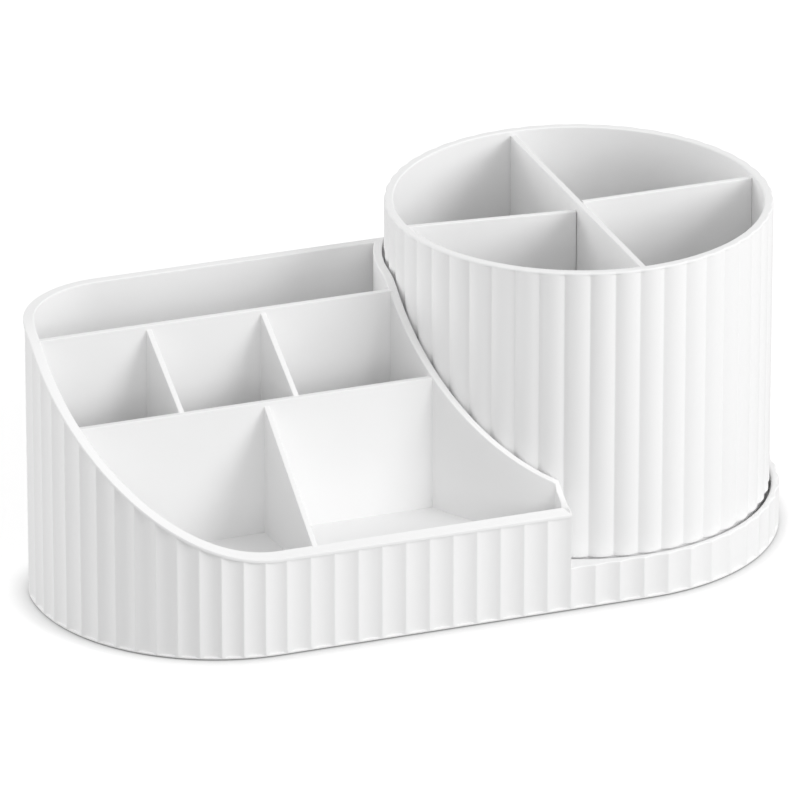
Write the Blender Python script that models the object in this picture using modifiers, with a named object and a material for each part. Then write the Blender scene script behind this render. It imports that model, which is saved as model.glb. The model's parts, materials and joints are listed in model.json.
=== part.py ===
"""Rotating make-up organizer: a fluted tray with a reeded cup that spins in a round well.

The model is in metres, +Z up. Everything hangs on an empty that stands on the table
under the axis of the cup, so local places are measured from that axis.
"""
import math

import bmesh
import bpy
from mathutils import Matrix, Vector

MM = 0.001

# The cup
CUP_RADIUS = 65.0 * MM          # over the crests of the reeds
CUP_RIM_WIDTH = 3.1 * MM        # from a crest to the bore
CUP_HEIGHT = 105.3 * MM         # from the lower edge of the skirt to the rim
CUP_SKIRT = 3.0 * MM            # how far the wall hangs below the cup's floor
CUP_FLOOR = 3.2 * MM
CUP_EDGE_ROUND = 0.6 * MM
REED_COUNT = 48
REED_DEPTH = 0.9 * MM
REED_TURN = math.radians(-2.6)  # of the reeds against the crossing plates
CUP_WALL_THICKNESS = 2.0 * MM   # the two crossing plates inside the cup
CUP_WALL_DROP = 1.6 * MM        # their tops lie this far below the rim
CUP_WALL_DIP = 3.0 * MM         # the left half of one slopes down this far to the middle

# The well that the cup stands in, and the low fluted ring round it
WELL_GAP = 0.6 * MM             # round the reeds
RING_WALL = 2.9 * MM            # from the bore to the arrises
RING_LAP = 3.0 * MM             # how far the ring stands above the cup's lower edge
DISH_FLOOR = 2.2 * MM

# The tray
TRAY_REACH = 193.8 * MM         # from the cup's axis to the left side
TRAY_DEPTH = 100.5 * MM
FRONT_CORNER_share = 0.6368     # of the depth
BACK_CORNER_share = 0.3383
WALL = 3.3 * MM                 # from the arrises to the inner face
INNER_WALL = 2.8 * MM           # beside the cup
END_WALL = 2.1 * MM             # the short wall at the front, beside the cup
ARC_STEP = 0.2 * MM             # the wall beside the cup stands back this far from the well
END_FRONT_share = 0.4131        # of the ring's radius, from the axis to the end of the front wall
END_SPLAY = 1.1 * MM            # the wall beside the cup ends this much further left
RING_BITE = 0.5 * MM            # and the ring's block this much further, inside the short wall
FLOOR_TOP = 26.0 * MM
FLOOR_THICKNESS = 2.4 * MM
FLOOR_BITE = 1.0 * MM           # how far floors and dividers run into a wall

# The sloping rim and its rolled lip
RIM_FRONT = 36.7 * MM
RIM_BACK = 99.0 * MM
RIM_PITCH = math.radians(43.0)
RIM_START = 2.1 * MM            # where the slope would start, behind the front wall
RIM_FRONT_ROUND = 5.0 * MM
RIM_BACK_ROUND = 12.0 * MM
SIDE_PITCH = math.radians(47.4) # round the outside, where the slope leaves the front rim
SIDE_BOW = 425.0 * MM           # radius of the slope there
SIDE_BACK_ROUND = 45.0 * MM     # radius where it meets the back rim
LIP_DROP = 1.9 * MM
LIP_PROUD = 0.3 * MM            # outside the arrises
LIP_PROUD_ARC = 0.1 * MM        # beside the cup
LIP_ROUND = 1.0 * MM
LIP_INNER_ROUND = 0.5 * MM

# Flutes on the tray and the ring
FLUTE_PITCH = 8.3 * MM
CORNER_FLUTE_PITCH = 7.4 * MM   # round the tray's front corner
RING_FLUTE_PITCH = 8.7 * MM
FLUTE_DEPTH = 0.75 * MM
FLUTE_STEPS = 4
ARC_DEGREES = 4                 # one step round the wall beside the cup
END_WALL_shares = (0.3, 0.55, 0.7, 0.85)    # slices along the short wall at the front
TUCKED_SLICES = 4               # slices beside a corner that may be gathered into it

# Dividers moulded in the tray; shares run back from the front line or left from the axis
LONG_DIVIDER = 2.2 * MM
CROSS_DIVIDER = 1.9 * MM
DIVIDER_DROP = 0.3 * MM         # below the rim
BACK_DIVIDER_share = 0.6507     # of the depth
MIDDLE_DIVIDER_share = 0.4109
BACK_CROSS_shares = (0.791, 0.5851)     # of the reach, at the back divider
BACK_CROSS_LEAN = math.radians(9.0)
FRONT_CROSS_share = 0.6228      # of the reach, at the middle divider
FRONT_CROSS_LEAN = math.radians(5.0)

# The stack under the cup
FIT = 0.3 * MM                  # between pieces that seat on each other
RUN = 0.4 * MM                  # between pieces that turn past each other
FOOT_PROUD = 0.4 * MM
FOOT_THICKNESS = 1.4 * MM
FOOT_RADIUS = 7.0 * MM
PLATE = 2.0 * MM
PLATE_GAP = 0.35 * MM           # round the base plate
PLATE_BITE = 0.5 * MM           # the plate's lobe ends this far left of the ring's block
WASHER = 1.1 * MM
WASHER_RADIUS = 10.0 * MM
RACE = 2.2 * MM
RACE_CLEAR = 4.5 * MM           # between the dish's bosses and the races
RACE_EDGE = 4.5 * MM            # from a race's outer edge to the balls
RACE_GAP = 2.4 * MM             # between the two races
BALL_COUNT = 12
BALL_RADIUS = 2.0 * MM
CAGE = 1.6 * MM
CAGE_WIDTH = 7.2 * MM
POST_RADIUS = 6.0 * MM          # under the cup, on its axis
COLLAR_WALL = 3.0 * MM          # round the post, on the dish
COLLAR_HEIGHT = 4.5 * MM

# Screws
PIVOT_HEAD = 1.2 * MM
PIVOT_HEAD_RADIUS = 3.5 * MM
PIVOT_SHANK = 1.5 * MM          # radius
PIVOT_LENGTH = 11.0 * MM
RACE_SCREW_HEAD_RADIUS = 2.2 * MM
RACE_SCREW_SHANK = 1.0 * MM
RACE_SCREW_HEAD = 1.2 * MM
RACE_SCREW_LENGTH = 4.4 * MM
RACE_SCREW_IN = 5.7 * MM        # from the balls' circle in to the screws
RACE_SCREW_EDGE = 3.8 * MM      # and from there to the race's inner edge
RACE_SCREW_COUNT = 3
RACE_SCREW_TURN = math.radians(4)
RACE_BOSS_RADIUS = 3.2 * MM
RACE_BOSS_HEIGHT = 2.2 * MM
PLATE_SCREW_HEAD_RADIUS = 2.5 * MM
PLATE_SCREW_SHANK = 1.25 * MM
PLATE_SCREW_HEAD = 1.3 * MM
PLATE_SCREW_LENGTH = 8.0 * MM
SCREW_RIM = 0.3 * MM            # the flat edge of a countersunk head
SCREW_POINT = 0.6 * MM
PLATE_BOSS_RADIUS = 4.0 * MM
DISH_BOSS_HEIGHT = 3.0 * MM     # above the dish
DISH_BOSS_IN = 10.0 * MM        # from the pocket's wall in to a boss
DISH_BOSS_TURNS = (math.radians(60), math.radians(180), math.radians(300))

# Places in the tray, as shares of the reach and of the depth
TRAY_BOSS_shares = ((0.9306, 0.6368), (0.6838, 0.1194), (0.4936, 0.8756))
TRAY_FOOT_shares = ((0.8895, 0.4577), (0.5758, 0.1443), (0.6581, 0.8557))
DISH_FOOT_IN = 12.5 * MM        # from the pocket's wall in to a foot's centre
DISH_FOOT_TURNS = (math.radians(-80), math.radians(0), math.radians(80))

OVERRUN = 1.0 * MM              # of a cutter past what it cuts
MERGE = 0.01 * MM
ROUND_SIDES = 48
SMALL_SIDES = 12
GROOVE_STEPS = 4

# Heights above the table, from the bottom up
plate_bottom = FOOT_PROUD
plate_top = plate_bottom + PLATE
pivot_head_bottom = plate_top + RUN
washer_bottom = pivot_head_bottom + PIVOT_HEAD + FIT
dish_bottom = washer_bottom + WASHER + RUN
dish_top = dish_bottom + DISH_FLOOR
lower_race_bottom = dish_top + FIT
lower_race_top = lower_race_bottom + RACE
ball_height = lower_race_top + RACE_GAP / 2
upper_race_bottom = lower_race_top + RACE_GAP
upper_race_top = upper_race_bottom + RACE
cup_floor_bottom = upper_race_top + FIT
cup_floor_top = cup_floor_bottom + CUP_FLOOR
skirt_bottom = cup_floor_bottom - CUP_SKIRT
cup_top = skirt_bottom + CUP_HEIGHT
ring_top = skirt_bottom + RING_LAP

# Places seen from above
cup_bore = CUP_RADIUS - CUP_RIM_WIDTH
well_radius = CUP_RADIUS + WELL_GAP
ring_radius = well_radius + RING_WALL
arc_radius = well_radius + ARC_STEP
front_line = -ring_radius
back_line = front_line + TRAY_DEPTH
left_line = -TRAY_REACH
front_corner = TRAY_DEPTH * FRONT_CORNER_share
back_corner = TRAY_DEPTH * BACK_CORNER_share
end_front = ring_radius * END_FRONT_share
end_back = end_front + END_SPLAY
ring_end = end_back + RING_BITE
plate_lobe_end = ring_end + PLATE_BITE
post_hole = POST_RADIUS + RUN
pocket_radius = well_radius - FIT
dish_boss_circle = pocket_radius - DISH_BOSS_IN
dish_foot_circle = pocket_radius - DISH_FOOT_IN
race_outer = dish_boss_circle - PLATE_BOSS_RADIUS - RACE_CLEAR
ball_circle = race_outer - RACE_EDGE
race_screw_circle = ball_circle - RACE_SCREW_IN
race_inner = race_screw_circle - RACE_SCREW_EDGE


def side_rim_height(y):
    """Height of the rim round the outside: level, a bowed slope, and level again at the back."""
    bow_y = front_line + SIDE_BOW * math.sin(SIDE_PITCH)
    bow_z = RIM_FRONT - SIDE_BOW * math.cos(SIDE_PITCH)
    round_z = RIM_BACK - SIDE_BACK_ROUND
    inner = SIDE_BOW - SIDE_BACK_ROUND
    round_y = bow_y - math.sqrt(inner**2 - (round_z - bow_z)**2)
    meet = bow_y - (bow_y - round_y) * SIDE_BOW / inner
    if y <= front_line:
        return RIM_FRONT
    if y < meet:
        return bow_z + math.sqrt(SIDE_BOW**2 - (bow_y - y)**2)
    if y < round_y:
        return round_z + math.sqrt(SIDE_BACK_ROUND**2 - (round_y - y)**2)
    return RIM_BACK


def rim_height(y):
    """Height of the rim beside the cup: level, a slope with rounded ends, and level again."""
    slope = math.tan(RIM_PITCH)
    half = math.tan(RIM_PITCH / 2)
    foot = front_line + RIM_START
    head = foot + (RIM_BACK - RIM_FRONT) / slope
    low_start = foot - RIM_FRONT_ROUND * half
    low_end = foot + RIM_FRONT_ROUND * half * math.cos(RIM_PITCH)
    high_start = head - RIM_BACK_ROUND * half * math.cos(RIM_PITCH)
    high_end = head + RIM_BACK_ROUND * half
    if y <= low_start:
        return RIM_FRONT
    if y < low_end:
        return RIM_FRONT + RIM_FRONT_ROUND - math.sqrt(RIM_FRONT_ROUND**2 - (y - low_start)**2)
    if y <= high_start:
        return RIM_FRONT + slope * (y - foot)
    if y < high_end:
        return RIM_BACK - RIM_BACK_ROUND + math.sqrt(RIM_BACK_ROUND**2 - (high_end - y)**2)
    return RIM_BACK


class Path:
    """A run of straight lines and arcs seen from above, measured by its length."""

    def __init__(self, start, heading):
        self.point = Vector(start)
        self.heading = heading
        self.pieces = []

    def straight(self, length):
        self.pieces.append((length, self.point.copy(), self.heading, 0.0))
        self.point = self.point + length * Vector((math.cos(self.heading), math.sin(self.heading)))
        return self

    def bend(self, radius, turn):
        """Turn by an angle, positive to the left, on a circle of this radius."""
        length = abs(turn) * radius
        self.pieces.append((length, self.point.copy(), self.heading, turn / length))
        self.point, self.heading = self.at(length, self.pieces[-1])
        return self

    def length(self):
        return sum(piece[0] for piece in self.pieces)

    def at(self, s, piece):
        """Point and heading at a length along one piece."""
        _, start, heading, curl = piece
        if curl == 0:
            return start + s * Vector((math.cos(heading), math.sin(heading))), heading
        turned = heading + curl * s
        across = Vector((math.sin(turned) - math.sin(heading), math.cos(heading) - math.cos(turned)))
        return start + across / curl, turned

    def walk(self, s):
        """Point and left-hand normal at a length along the whole path."""
        for piece in self.pieces:
            if s <= piece[0] + MERGE or piece is self.pieces[-1]:
                point, heading = self.at(min(s, piece[0]), piece)
                return point, Vector((-math.sin(heading), math.cos(heading)))
            s -= piece[0]


def fluted(path, side, *stretches):
    """Stations along a path with a concave flute between two arrises.

    Each station is a point on the arris line, the normal into the material and the
    depth of the flute there. The side is 1 where the material lies left of the path.
    Each stretch is the length at which it ends and the pitch that its flutes come near.
    """
    stations = []
    start = 0
    for end, pitch in stretches:
        total = round((end - start) / pitch) * FLUTE_STEPS
        for step in range(total):
            point, normal = path.walk(start + (end - start) * step / total)
            share = step % FLUTE_STEPS / FLUTE_STEPS
            stations.append((point, normal * side, FLUTE_DEPTH * 4 * share * (1 - share)))
        start = end
    point, normal = path.walk(start)
    stations.append((point, normal * side, 0))
    return stations


def circle_y(radius, x):
    """The place behind the axis where a circle about it has this x."""
    return math.sqrt(radius**2 - x**2)


def tray_outside():
    """Stations round the tray's outside, from the end of its front wall to the cup."""
    straight_front = TRAY_REACH - end_front - front_corner
    straight_side = TRAY_DEPTH - front_corner - back_corner
    end = -circle_y(arc_radius, back_line)
    path = Path((-end_front, front_line), math.pi)
    path.straight(straight_front)
    path.bend(front_corner, -math.pi / 2)
    past_corner = path.length()
    path.straight(straight_side)
    path.bend(back_corner, -math.pi / 2)
    path.straight(end - left_line - back_corner)
    last_wide = math.floor(straight_front / FLUTE_PITCH) * FLUTE_PITCH
    return fluted(path, -1, (last_wide, FLUTE_PITCH), (past_corner, CORNER_FLUTE_PITCH),
                  (path.length(), FLUTE_PITCH))


def ring_outside():
    """Stations round the ring, from the end of the tray's front wall to inside its back wall."""
    hidden = math.radians(4)
    join = math.pi - math.asin(back_line / ring_radius) + hidden
    path = Path((-end_front, front_line), 0)
    path.straight(end_front)
    path.bend(ring_radius, join + math.pi / 2)
    return fluted(path, 1, (path.length(), RING_FLUTE_PITCH))


def put_in(collection, name, mesh, parent, material=None):
    """Make an object of a mesh, hung on its parent."""
    obj = bpy.data.objects.new(name, mesh)
    collection.objects.link(obj)
    obj.parent = parent
    if material:
        obj.data.materials.clear()
        obj.data.materials.append(material)
    return obj


def as_cutter(obj):
    """Keep a guide or a cutter out of the model."""
    obj.hide_render = True
    obj.display_type = 'WIRE'
    return obj


def smooth(obj, angle=math.radians(35)):
    obj.data.shade_smooth()
    obj.data.set_sharp_from_angle(angle=angle)


def combine(obj, other, operation='DIFFERENCE'):
    """Cut another object away from this one, or join it on, and keep that live."""
    modifier = obj.modifiers.new(operation.title() + " " + other.name, 'BOOLEAN')
    modifier.operation = operation
    modifier.object = other
    modifier.solver = 'EXACT'
    return obj


class Shop:
    """The collections, the parent and the finishes that pieces are made with."""

    def __init__(self):
        self.parts = bpy.data.collections.new("makeup_organizer")
        self.guides = bpy.data.collections.new("cutters")
        for collection in (self.parts, self.guides):
            bpy.context.scene.collection.children.link(collection)
        self.finishes = {
            "white": finish("white_plastic", (0.90, 0.90, 0.90), 0.38),
            "bearing": finish("bearing_plastic", (0.80, 0.80, 0.78), 0.45),
            "steel": finish("steel", (0.62, 0.62, 0.63), 0.22, 1.0),
            "rubber": finish("soft_foot", (0.55, 0.55, 0.55), 0.80),
        }
        self.parent = None

    def mesh_object(self, name, mesh, kind):
        """A part in its finish, or a cutter where the kind says so."""
        if kind == "cutter":
            return as_cutter(put_in(self.guides, name, mesh, self.parent))
        return put_in(self.parts, name, mesh, self.parent, self.finishes[kind])

    def prism(self, name, outline, low, high, kind, holes=()):
        """A flat outline, with any holes, given a thickness between two heights."""
        curve = bpy.data.curves.new(name + "_outline", 'CURVE')
        curve.dimensions = '2D'
        curve.fill_mode = 'BOTH'
        curve.extrude = (high - low) / 2
        for loop in (outline, *holes):
            spline = curve.splines.new('POLY')
            spline.points.add(len(loop) - 1)
            for spot, (x, y) in zip(spline.points, loop):
                spot.co = (x, y, 0, 1)
            spline.use_cyclic_u = True
        solid = bpy.data.objects.new(name + "_curve", curve)
        bpy.context.scene.collection.objects.link(solid)
        solid.location.z = (low + high) / 2
        bpy.context.view_layer.update()
        evaluated = solid.evaluated_get(bpy.context.evaluated_depsgraph_get())
        mesh = bpy.data.meshes.new_from_object(evaluated)
        mesh.transform(solid.matrix_world)
        bpy.data.objects.remove(solid)
        edit = bmesh.new()
        edit.from_mesh(mesh)
        bmesh.ops.remove_doubles(edit, verts=edit.verts, dist=MERGE)
        # Where three points of the outline lie in a line, the fill can leave a face without an area
        empty = [face for face in edit.faces if face.calc_area() < MERGE**2]
        longest = {max(face.edges, key=lambda edge: edge.calc_length()) for face in empty}
        bmesh.ops.dissolve_edges(edit, edges=list(longest))
        bmesh.ops.recalc_face_normals(edit, faces=edit.faces)
        edit.to_mesh(mesh)
        edit.free()
        return self.mesh_object(name, mesh, kind)

    def turned(self, name, profile, kind, sides=ROUND_SIDES, at=(0, 0), closed=False):
        """A profile of (radius, height), top to bottom down its outer side, turned about Z."""
        edit = bmesh.new()
        spots = [edit.verts.new((radius, 0, height)) for radius, height in profile]
        for first, second in zip(spots, spots[1:]):
            edit.edges.new((first, second))
        if closed:
            edit.edges.new((spots[-1], spots[0]))
        mesh = bpy.data.meshes.new(name)
        edit.to_mesh(mesh)
        edit.free()
        obj = self.mesh_object(name, mesh, kind)
        obj.location = (at[0], at[1], 0)
        screw = obj.modifiers.new("Turn", 'SCREW')
        screw.steps = sides
        screw.render_steps = sides
        screw.use_merge_vertices = True
        screw.merge_threshold = MERGE
        screw.use_smooth_shade = True
        return obj

    def rod(self, name, radius, low, high, kind, sides=SMALL_SIDES, at=(0, 0)):
        """A plain cylinder between two heights."""
        mesh = bpy.data.meshes.new(name)
        edit = bmesh.new()
        bmesh.ops.create_cone(edit, cap_ends=True, segments=sides, radius1=radius,
                              radius2=radius, depth=high - low)
        edit.to_mesh(mesh)
        edit.free()
        obj = self.mesh_object(name, mesh, kind)
        obj.location = (at[0], at[1], (low + high) / 2)
        return obj

    def slab(self, name, corners, low, tops, kind):
        """A box whose plan is any four corners, each with a top height of its own."""
        mesh = bpy.data.meshes.new(name)
        edit = bmesh.new()
        bmesh.ops.create_cube(edit, size=1)
        order = {(-1, -1): 0, (1, -1): 1, (1, 1): 2, (-1, 1): 3}
        for vert in edit.verts:
            corner = order[(int(math.copysign(1, vert.co.x)), int(math.copysign(1, vert.co.y)))]
            height = tops[corner] if vert.co.z > 0 else low
            vert.co = (*corners[corner], height)
        edit.to_mesh(mesh)
        edit.free()
        return self.mesh_object(name, mesh, kind)


def finish(name, colour, roughness, metallic=0.0):
    """A plain Principled finish."""
    material = bpy.data.materials.new(name)
    material.use_nodes = True
    shader = material.node_tree.nodes["Principled BSDF"]
    shader.inputs["Base Color"].default_value = (*colour, 1)
    shader.inputs["Roughness"].default_value = roughness
    shader.inputs["Metallic"].default_value = metallic
    material.diffuse_color = (*colour, 1)
    return material


def lip_section(flute, proud, wall, rim, foot=plate_bottom):
    """One slice through the tray's wall, as (distance in from the arrises, height)."""
    soft = LIP_ROUND * (1 - math.sqrt(0.5))
    return [
        (flute, foot),
        (flute, rim - LIP_DROP),
        (-proud, rim - LIP_DROP),
        (-proud, rim - LIP_ROUND),
        (soft - proud, rim - soft),
        (LIP_ROUND - proud, rim),
        (wall - LIP_INNER_ROUND, rim),
        (wall, rim - LIP_INNER_ROUND),
        (wall, foot),
    ]


def plain_slice(rim, point, normal, flute, proud, wall, foot=plate_bottom):
    """A slice of the wall at a station where it runs on smoothly, under a rim of this height."""
    section = lip_section(flute, proud, wall, rim, foot)
    return [(*(point + normal * inward), height) for inward, height in section]


def corner_slice(point, first, second, foot=plate_bottom):
    """A mitred slice at a sharp corner between two walls, each (normal, proud, wall)."""
    rim = rim_height(point.y)
    sides = Matrix((first[0], second[0]))
    ones = lip_section(0, first[1], first[2], rim, foot)
    others = lip_section(0, second[1], second[2], rim, foot)
    spots = []
    for (one, height), (other, _) in zip(ones, others):
        offset = sides.inverted() @ Vector((one, other))
        spots.append((*(point + offset), height))
    return spots


def tuck(slices, corner):
    """Gather the inner points of the slices beside a mitred corner into the corner itself."""
    mitre = slices[corner]
    for step in (1, -1):
        for count in range(1, TUCKED_SLICES + 1):
            spots = slices[(corner + step * count) % len(slices)]
            away = Vector(spots[1][:2]) - Vector(mitre[1][:2])
            for index, spot in enumerate(spots):
                if (Vector(spot[:2]) - Vector(mitre[index][:2])).dot(away) <= MERGE * away.length:
                    spots[index] = mitre[index]


def tray_wall(shop):
    """The tray's wall: one section carried right round it, the flutes and rim included."""
    outer = tray_outside()
    front_end, back_end = outer[0][0], outer[-1][0]
    arc_front = Vector((-end_back, -circle_y(arc_radius, end_back)))
    end_run = (arc_front - front_end).normalized()
    end_normal = Vector((-end_run.y, end_run.x))
    outside = (LIP_PROUD, WALL)
    inside = (LIP_PROUD_ARC, INNER_WALL)
    end = (LIP_PROUD_ARC, END_WALL)

    slices = [corner_slice(front_end, (end_normal, *end), (outer[0][1], *outside))]
    slices += [plain_slice(side_rim_height(station[0].y), *station, *outside) for station in outer[1:-1]]
    arc_start = math.atan2(back_end.y, back_end.x)
    arc_end = math.atan2(arc_front.y, arc_front.x) + 2 * math.pi
    corners = [0, len(slices)]
    slices.append(corner_slice(back_end, (outer[-1][1], *outside), (back_end.normalized(), *inside)))
    count = round(math.degrees(arc_end - arc_start) / ARC_DEGREES)
    for step in range(1, count):
        turn = arc_start + (arc_end - arc_start) * step / count
        away = Vector((math.cos(turn), math.sin(turn)))
        point = away * arc_radius
        slices.append(plain_slice(rim_height(point.y), point, away, 0, *inside, dish_bottom))
    corners.append(len(slices))
    slices.append(corner_slice(arc_front, (arc_front.normalized(), *inside), (end_normal, *end),
                               dish_bottom))
    for share in END_WALL_shares:
        point = arc_front.lerp(front_end, share)
        slices.append(plain_slice(rim_height(point.y), point, end_normal, 0, *end, dish_bottom))
    for corner in corners:
        tuck(slices, corner)

    edit = bmesh.new()
    rings = [[edit.verts.new(spot) for spot in spots] for spots in slices]
    for ring, following in zip(rings, rings[1:] + rings[:1]):
        for a, b in zip(range(len(ring)), [*range(1, len(ring)), 0]):
            edit.faces.new((ring[a], ring[b], following[b], following[a]))
    bmesh.ops.remove_doubles(edit, verts=edit.verts, dist=MERGE)
    bmesh.ops.recalc_face_normals(edit, faces=edit.faces)
    mesh = bpy.data.meshes.new("tray_body")
    edit.to_mesh(mesh)
    edit.free()
    return shop.mesh_object("tray_body", mesh, "white")


def lobe_outline(inset, right):
    """The tray's plan inside its walls, squared off at its right."""
    path = Path((right, front_line + inset), math.pi)
    path.straight(right - left_line - front_corner)
    path.bend(front_corner - inset, -math.pi / 2)
    path.straight(TRAY_DEPTH - front_corner - back_corner)
    path.bend(back_corner - inset, -math.pi / 2)
    steps = ROUND_SIDES
    spots = []
    for piece in path.pieces:
        if piece[3] == 0:
            spots.append(piece[1])
        else:
            spots += [path.at(piece[0] * step / (steps / 4), piece)[0] for step in range(steps // 4)]
    spots.append(path.point)
    spots.append(Vector((right, path.point.y)))
    return spots


def dish(shop):
    """The low fluted ring with the floor of the well, up to the tray's walls."""
    outline = [point + normal * flute for point, normal, flute in ring_outside()]
    hidden_radius = ring_radius - FLUTE_DEPTH
    last = outline[-1]
    start = math.atan2(last.y, last.x)
    end = math.atan2(-circle_y(hidden_radius, ring_end), -ring_end) + 2 * math.pi
    steps = ROUND_SIDES // 2
    for step in range(steps + 1):
        turn = start + (end - start) * step / steps
        outline.append(Vector((math.cos(turn), math.sin(turn))) * hidden_radius)
    outline.append(Vector((-ring_end, front_line + WALL / 2)))
    body = shop.prism("dish_shape", outline, plate_bottom, ring_top, "cutter")
    well = shop.rod("well_cut", well_radius, dish_top, ring_top + OVERRUN, "cutter",
                    sides=2 * ROUND_SIDES)
    below = shop.rod("under_dish_cut", pocket_radius, plate_bottom - OVERRUN, dish_bottom,
                     "cutter", sides=2 * ROUND_SIDES)
    combine(body, well)
    combine(body, below)
    return body


def divider_end(y):
    """Where a long divider ends inside the wall beside the cup."""
    return -circle_y(arc_radius + INNER_WALL - FLOOR_BITE, y)


def divider_start(y):
    """Where a long divider starts inside the tray's left wall."""
    radius, middle = (front_corner, front_line + front_corner)
    if y > back_line - back_corner:
        radius, middle = (back_corner, back_line - back_corner)
    reach = radius - WALL + FLOOR_BITE
    return left_line + radius - math.sqrt(reach**2 - min(0, y - middle)**2)


def tray_dividers(shop):
    """Two long dividers and three that cross between them, all moulded in the tray."""
    low = FLOOR_TOP - FLOOR_THICKNESS / 2
    back_y = front_line + TRAY_DEPTH * BACK_DIVIDER_share
    middle_y = front_line + TRAY_DEPTH * MIDDLE_DIVIDER_share
    half = LONG_DIVIDER / 2
    dividers = []
    for name, y in (("back_divider", back_y), ("middle_divider", middle_y)):
        top = rim_height(y) - DIVIDER_DROP
        corners = [(divider_start(y), y - half), (divider_end(y), y - half),
                   (divider_end(y), y + half), (divider_start(y), y + half)]
        dividers.append(shop.slab(name, corners, low, [top] * 4, "cutter"))

    front_y = front_line + WALL - FLOOR_BITE
    crossings = [(share, back_y, middle_y, BACK_CROSS_LEAN) for share in BACK_CROSS_shares]
    crossings.append((FRONT_CROSS_share, middle_y, front_y, FRONT_CROSS_LEAN))
    for number, (share, far, near, lean) in enumerate(crossings, 1):
        x = TRAY_REACH * share
        shift = (far - near) * math.tan(lean)
        wide = CROSS_DIVIDER / 2
        corners = [(-x + shift - wide, near), (-x + shift + wide, near), (-x + wide, far), (-x - wide, far)]
        tops = [rim_height(near) - 2 * DIVIDER_DROP] * 2 + [rim_height(far) - 2 * DIVIDER_DROP] * 2
        dividers.append(shop.slab(f"cross_divider_{number}", corners, low, tops, "cutter"))
    return dividers


def tray_floor(shop):
    """The raised floor, let into the walls all round."""
    outline = lobe_outline(WALL - FLOOR_BITE, -ring_end)
    floor = shop.prism("tray_floor", outline, FLOOR_TOP - FLOOR_THICKNESS, FLOOR_TOP, "cutter")
    away = shop.rod("beside_cup_cut", arc_radius + INNER_WALL - FLOOR_BITE,
                    FLOOR_TOP - FLOOR_THICKNESS - OVERRUN, FLOOR_TOP + OVERRUN, "cutter",
                    sides=2 * ROUND_SIDES)
    return combine(floor, away)


def ring_places(radius, turns):
    return [(radius * math.cos(turn), radius * math.sin(turn)) for turn in turns]


def tray_places(shares):
    return [(left_line * left, front_line + TRAY_DEPTH * behind) for left, behind in shares]


def race_turns(offset):
    first = RACE_SCREW_TURN + offset
    return [first + 2 * math.pi * number / RACE_SCREW_COUNT for number in range(RACE_SCREW_COUNT)]


def tray_bosses(shop):
    """Posts that the screws of the base plate and of the lower race go into."""
    solids, holes = [], []
    floor_low = FLOOR_TOP - FLOOR_THICKNESS / 2
    hole_top = plate_bottom + PLATE_SCREW_LENGTH + FIT + FIT
    plate_hole = PLATE_SCREW_SHANK + FIT
    for number, at in enumerate(tray_places(TRAY_BOSS_shares), 1):
        solids.append(shop.rod(f"tray_boss_{number}", PLATE_BOSS_RADIUS, plate_top, floor_low, "cutter", at=at))
        holes.append(shop.rod(f"tray_boss_hole_{number}", plate_hole, plate_bottom, hole_top, "cutter", at=at))
    for number, at in enumerate(ring_places(dish_boss_circle, DISH_BOSS_TURNS), 1):
        solids.append(shop.rod(f"dish_boss_{number}", PLATE_BOSS_RADIUS, plate_top,
                               dish_top + DISH_BOSS_HEIGHT, "cutter", at=at))
        holes.append(shop.rod(f"dish_boss_hole_{number}", plate_hole, plate_bottom, hole_top, "cutter", at=at))
    for number, at in enumerate(ring_places(race_screw_circle, race_turns(0)), 1):
        solids.append(shop.rod(f"race_boss_{number}", RACE_BOSS_RADIUS, dish_bottom - RACE_BOSS_HEIGHT,
                               dish_top - DISH_FLOOR / 2, "cutter", at=at))
        holes.append(shop.rod(f"race_boss_hole_{number}", RACE_SCREW_SHANK + FIT,
                              dish_bottom - RACE_BOSS_HEIGHT - OVERRUN, dish_top + OVERRUN, "cutter", at=at))
    solids.append(shop.rod("collar", post_hole + COLLAR_WALL, dish_top - DISH_FLOOR / 2,
                           dish_top + COLLAR_HEIGHT, "cutter", sides=ROUND_SIDES // 2))
    holes.append(shop.rod("collar_hole", post_hole, dish_bottom - OVERRUN,
                          dish_top + COLLAR_HEIGHT + OVERRUN, "cutter", sides=ROUND_SIDES // 2))
    return solids, holes


def tray_body(shop):
    """The one large moulding: walls, lip, dividers, floor, ring and well."""
    body = tray_wall(shop)
    solids, holes = tray_bosses(shop)
    for solid in [dish(shop), tray_floor(shop), *tray_dividers(shop), *solids]:
        combine(body, solid, 'UNION')
    recess = shop.prism("base_plate_recess", lobe_outline(WALL, PLATE_GAP - plate_lobe_end),
                        plate_bottom - OVERRUN, plate_top + FIT, "cutter")
    for cutter in [recess, *holes]:
        combine(body, cutter)
    smooth(body)
    return body


def foot_places():
    return tray_places(TRAY_FOOT_shares) + ring_places(dish_foot_circle, DISH_FOOT_TURNS)


def plate_screw_places():
    return tray_places(TRAY_BOSS_shares) + ring_places(dish_boss_circle, DISH_BOSS_TURNS)


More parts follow.
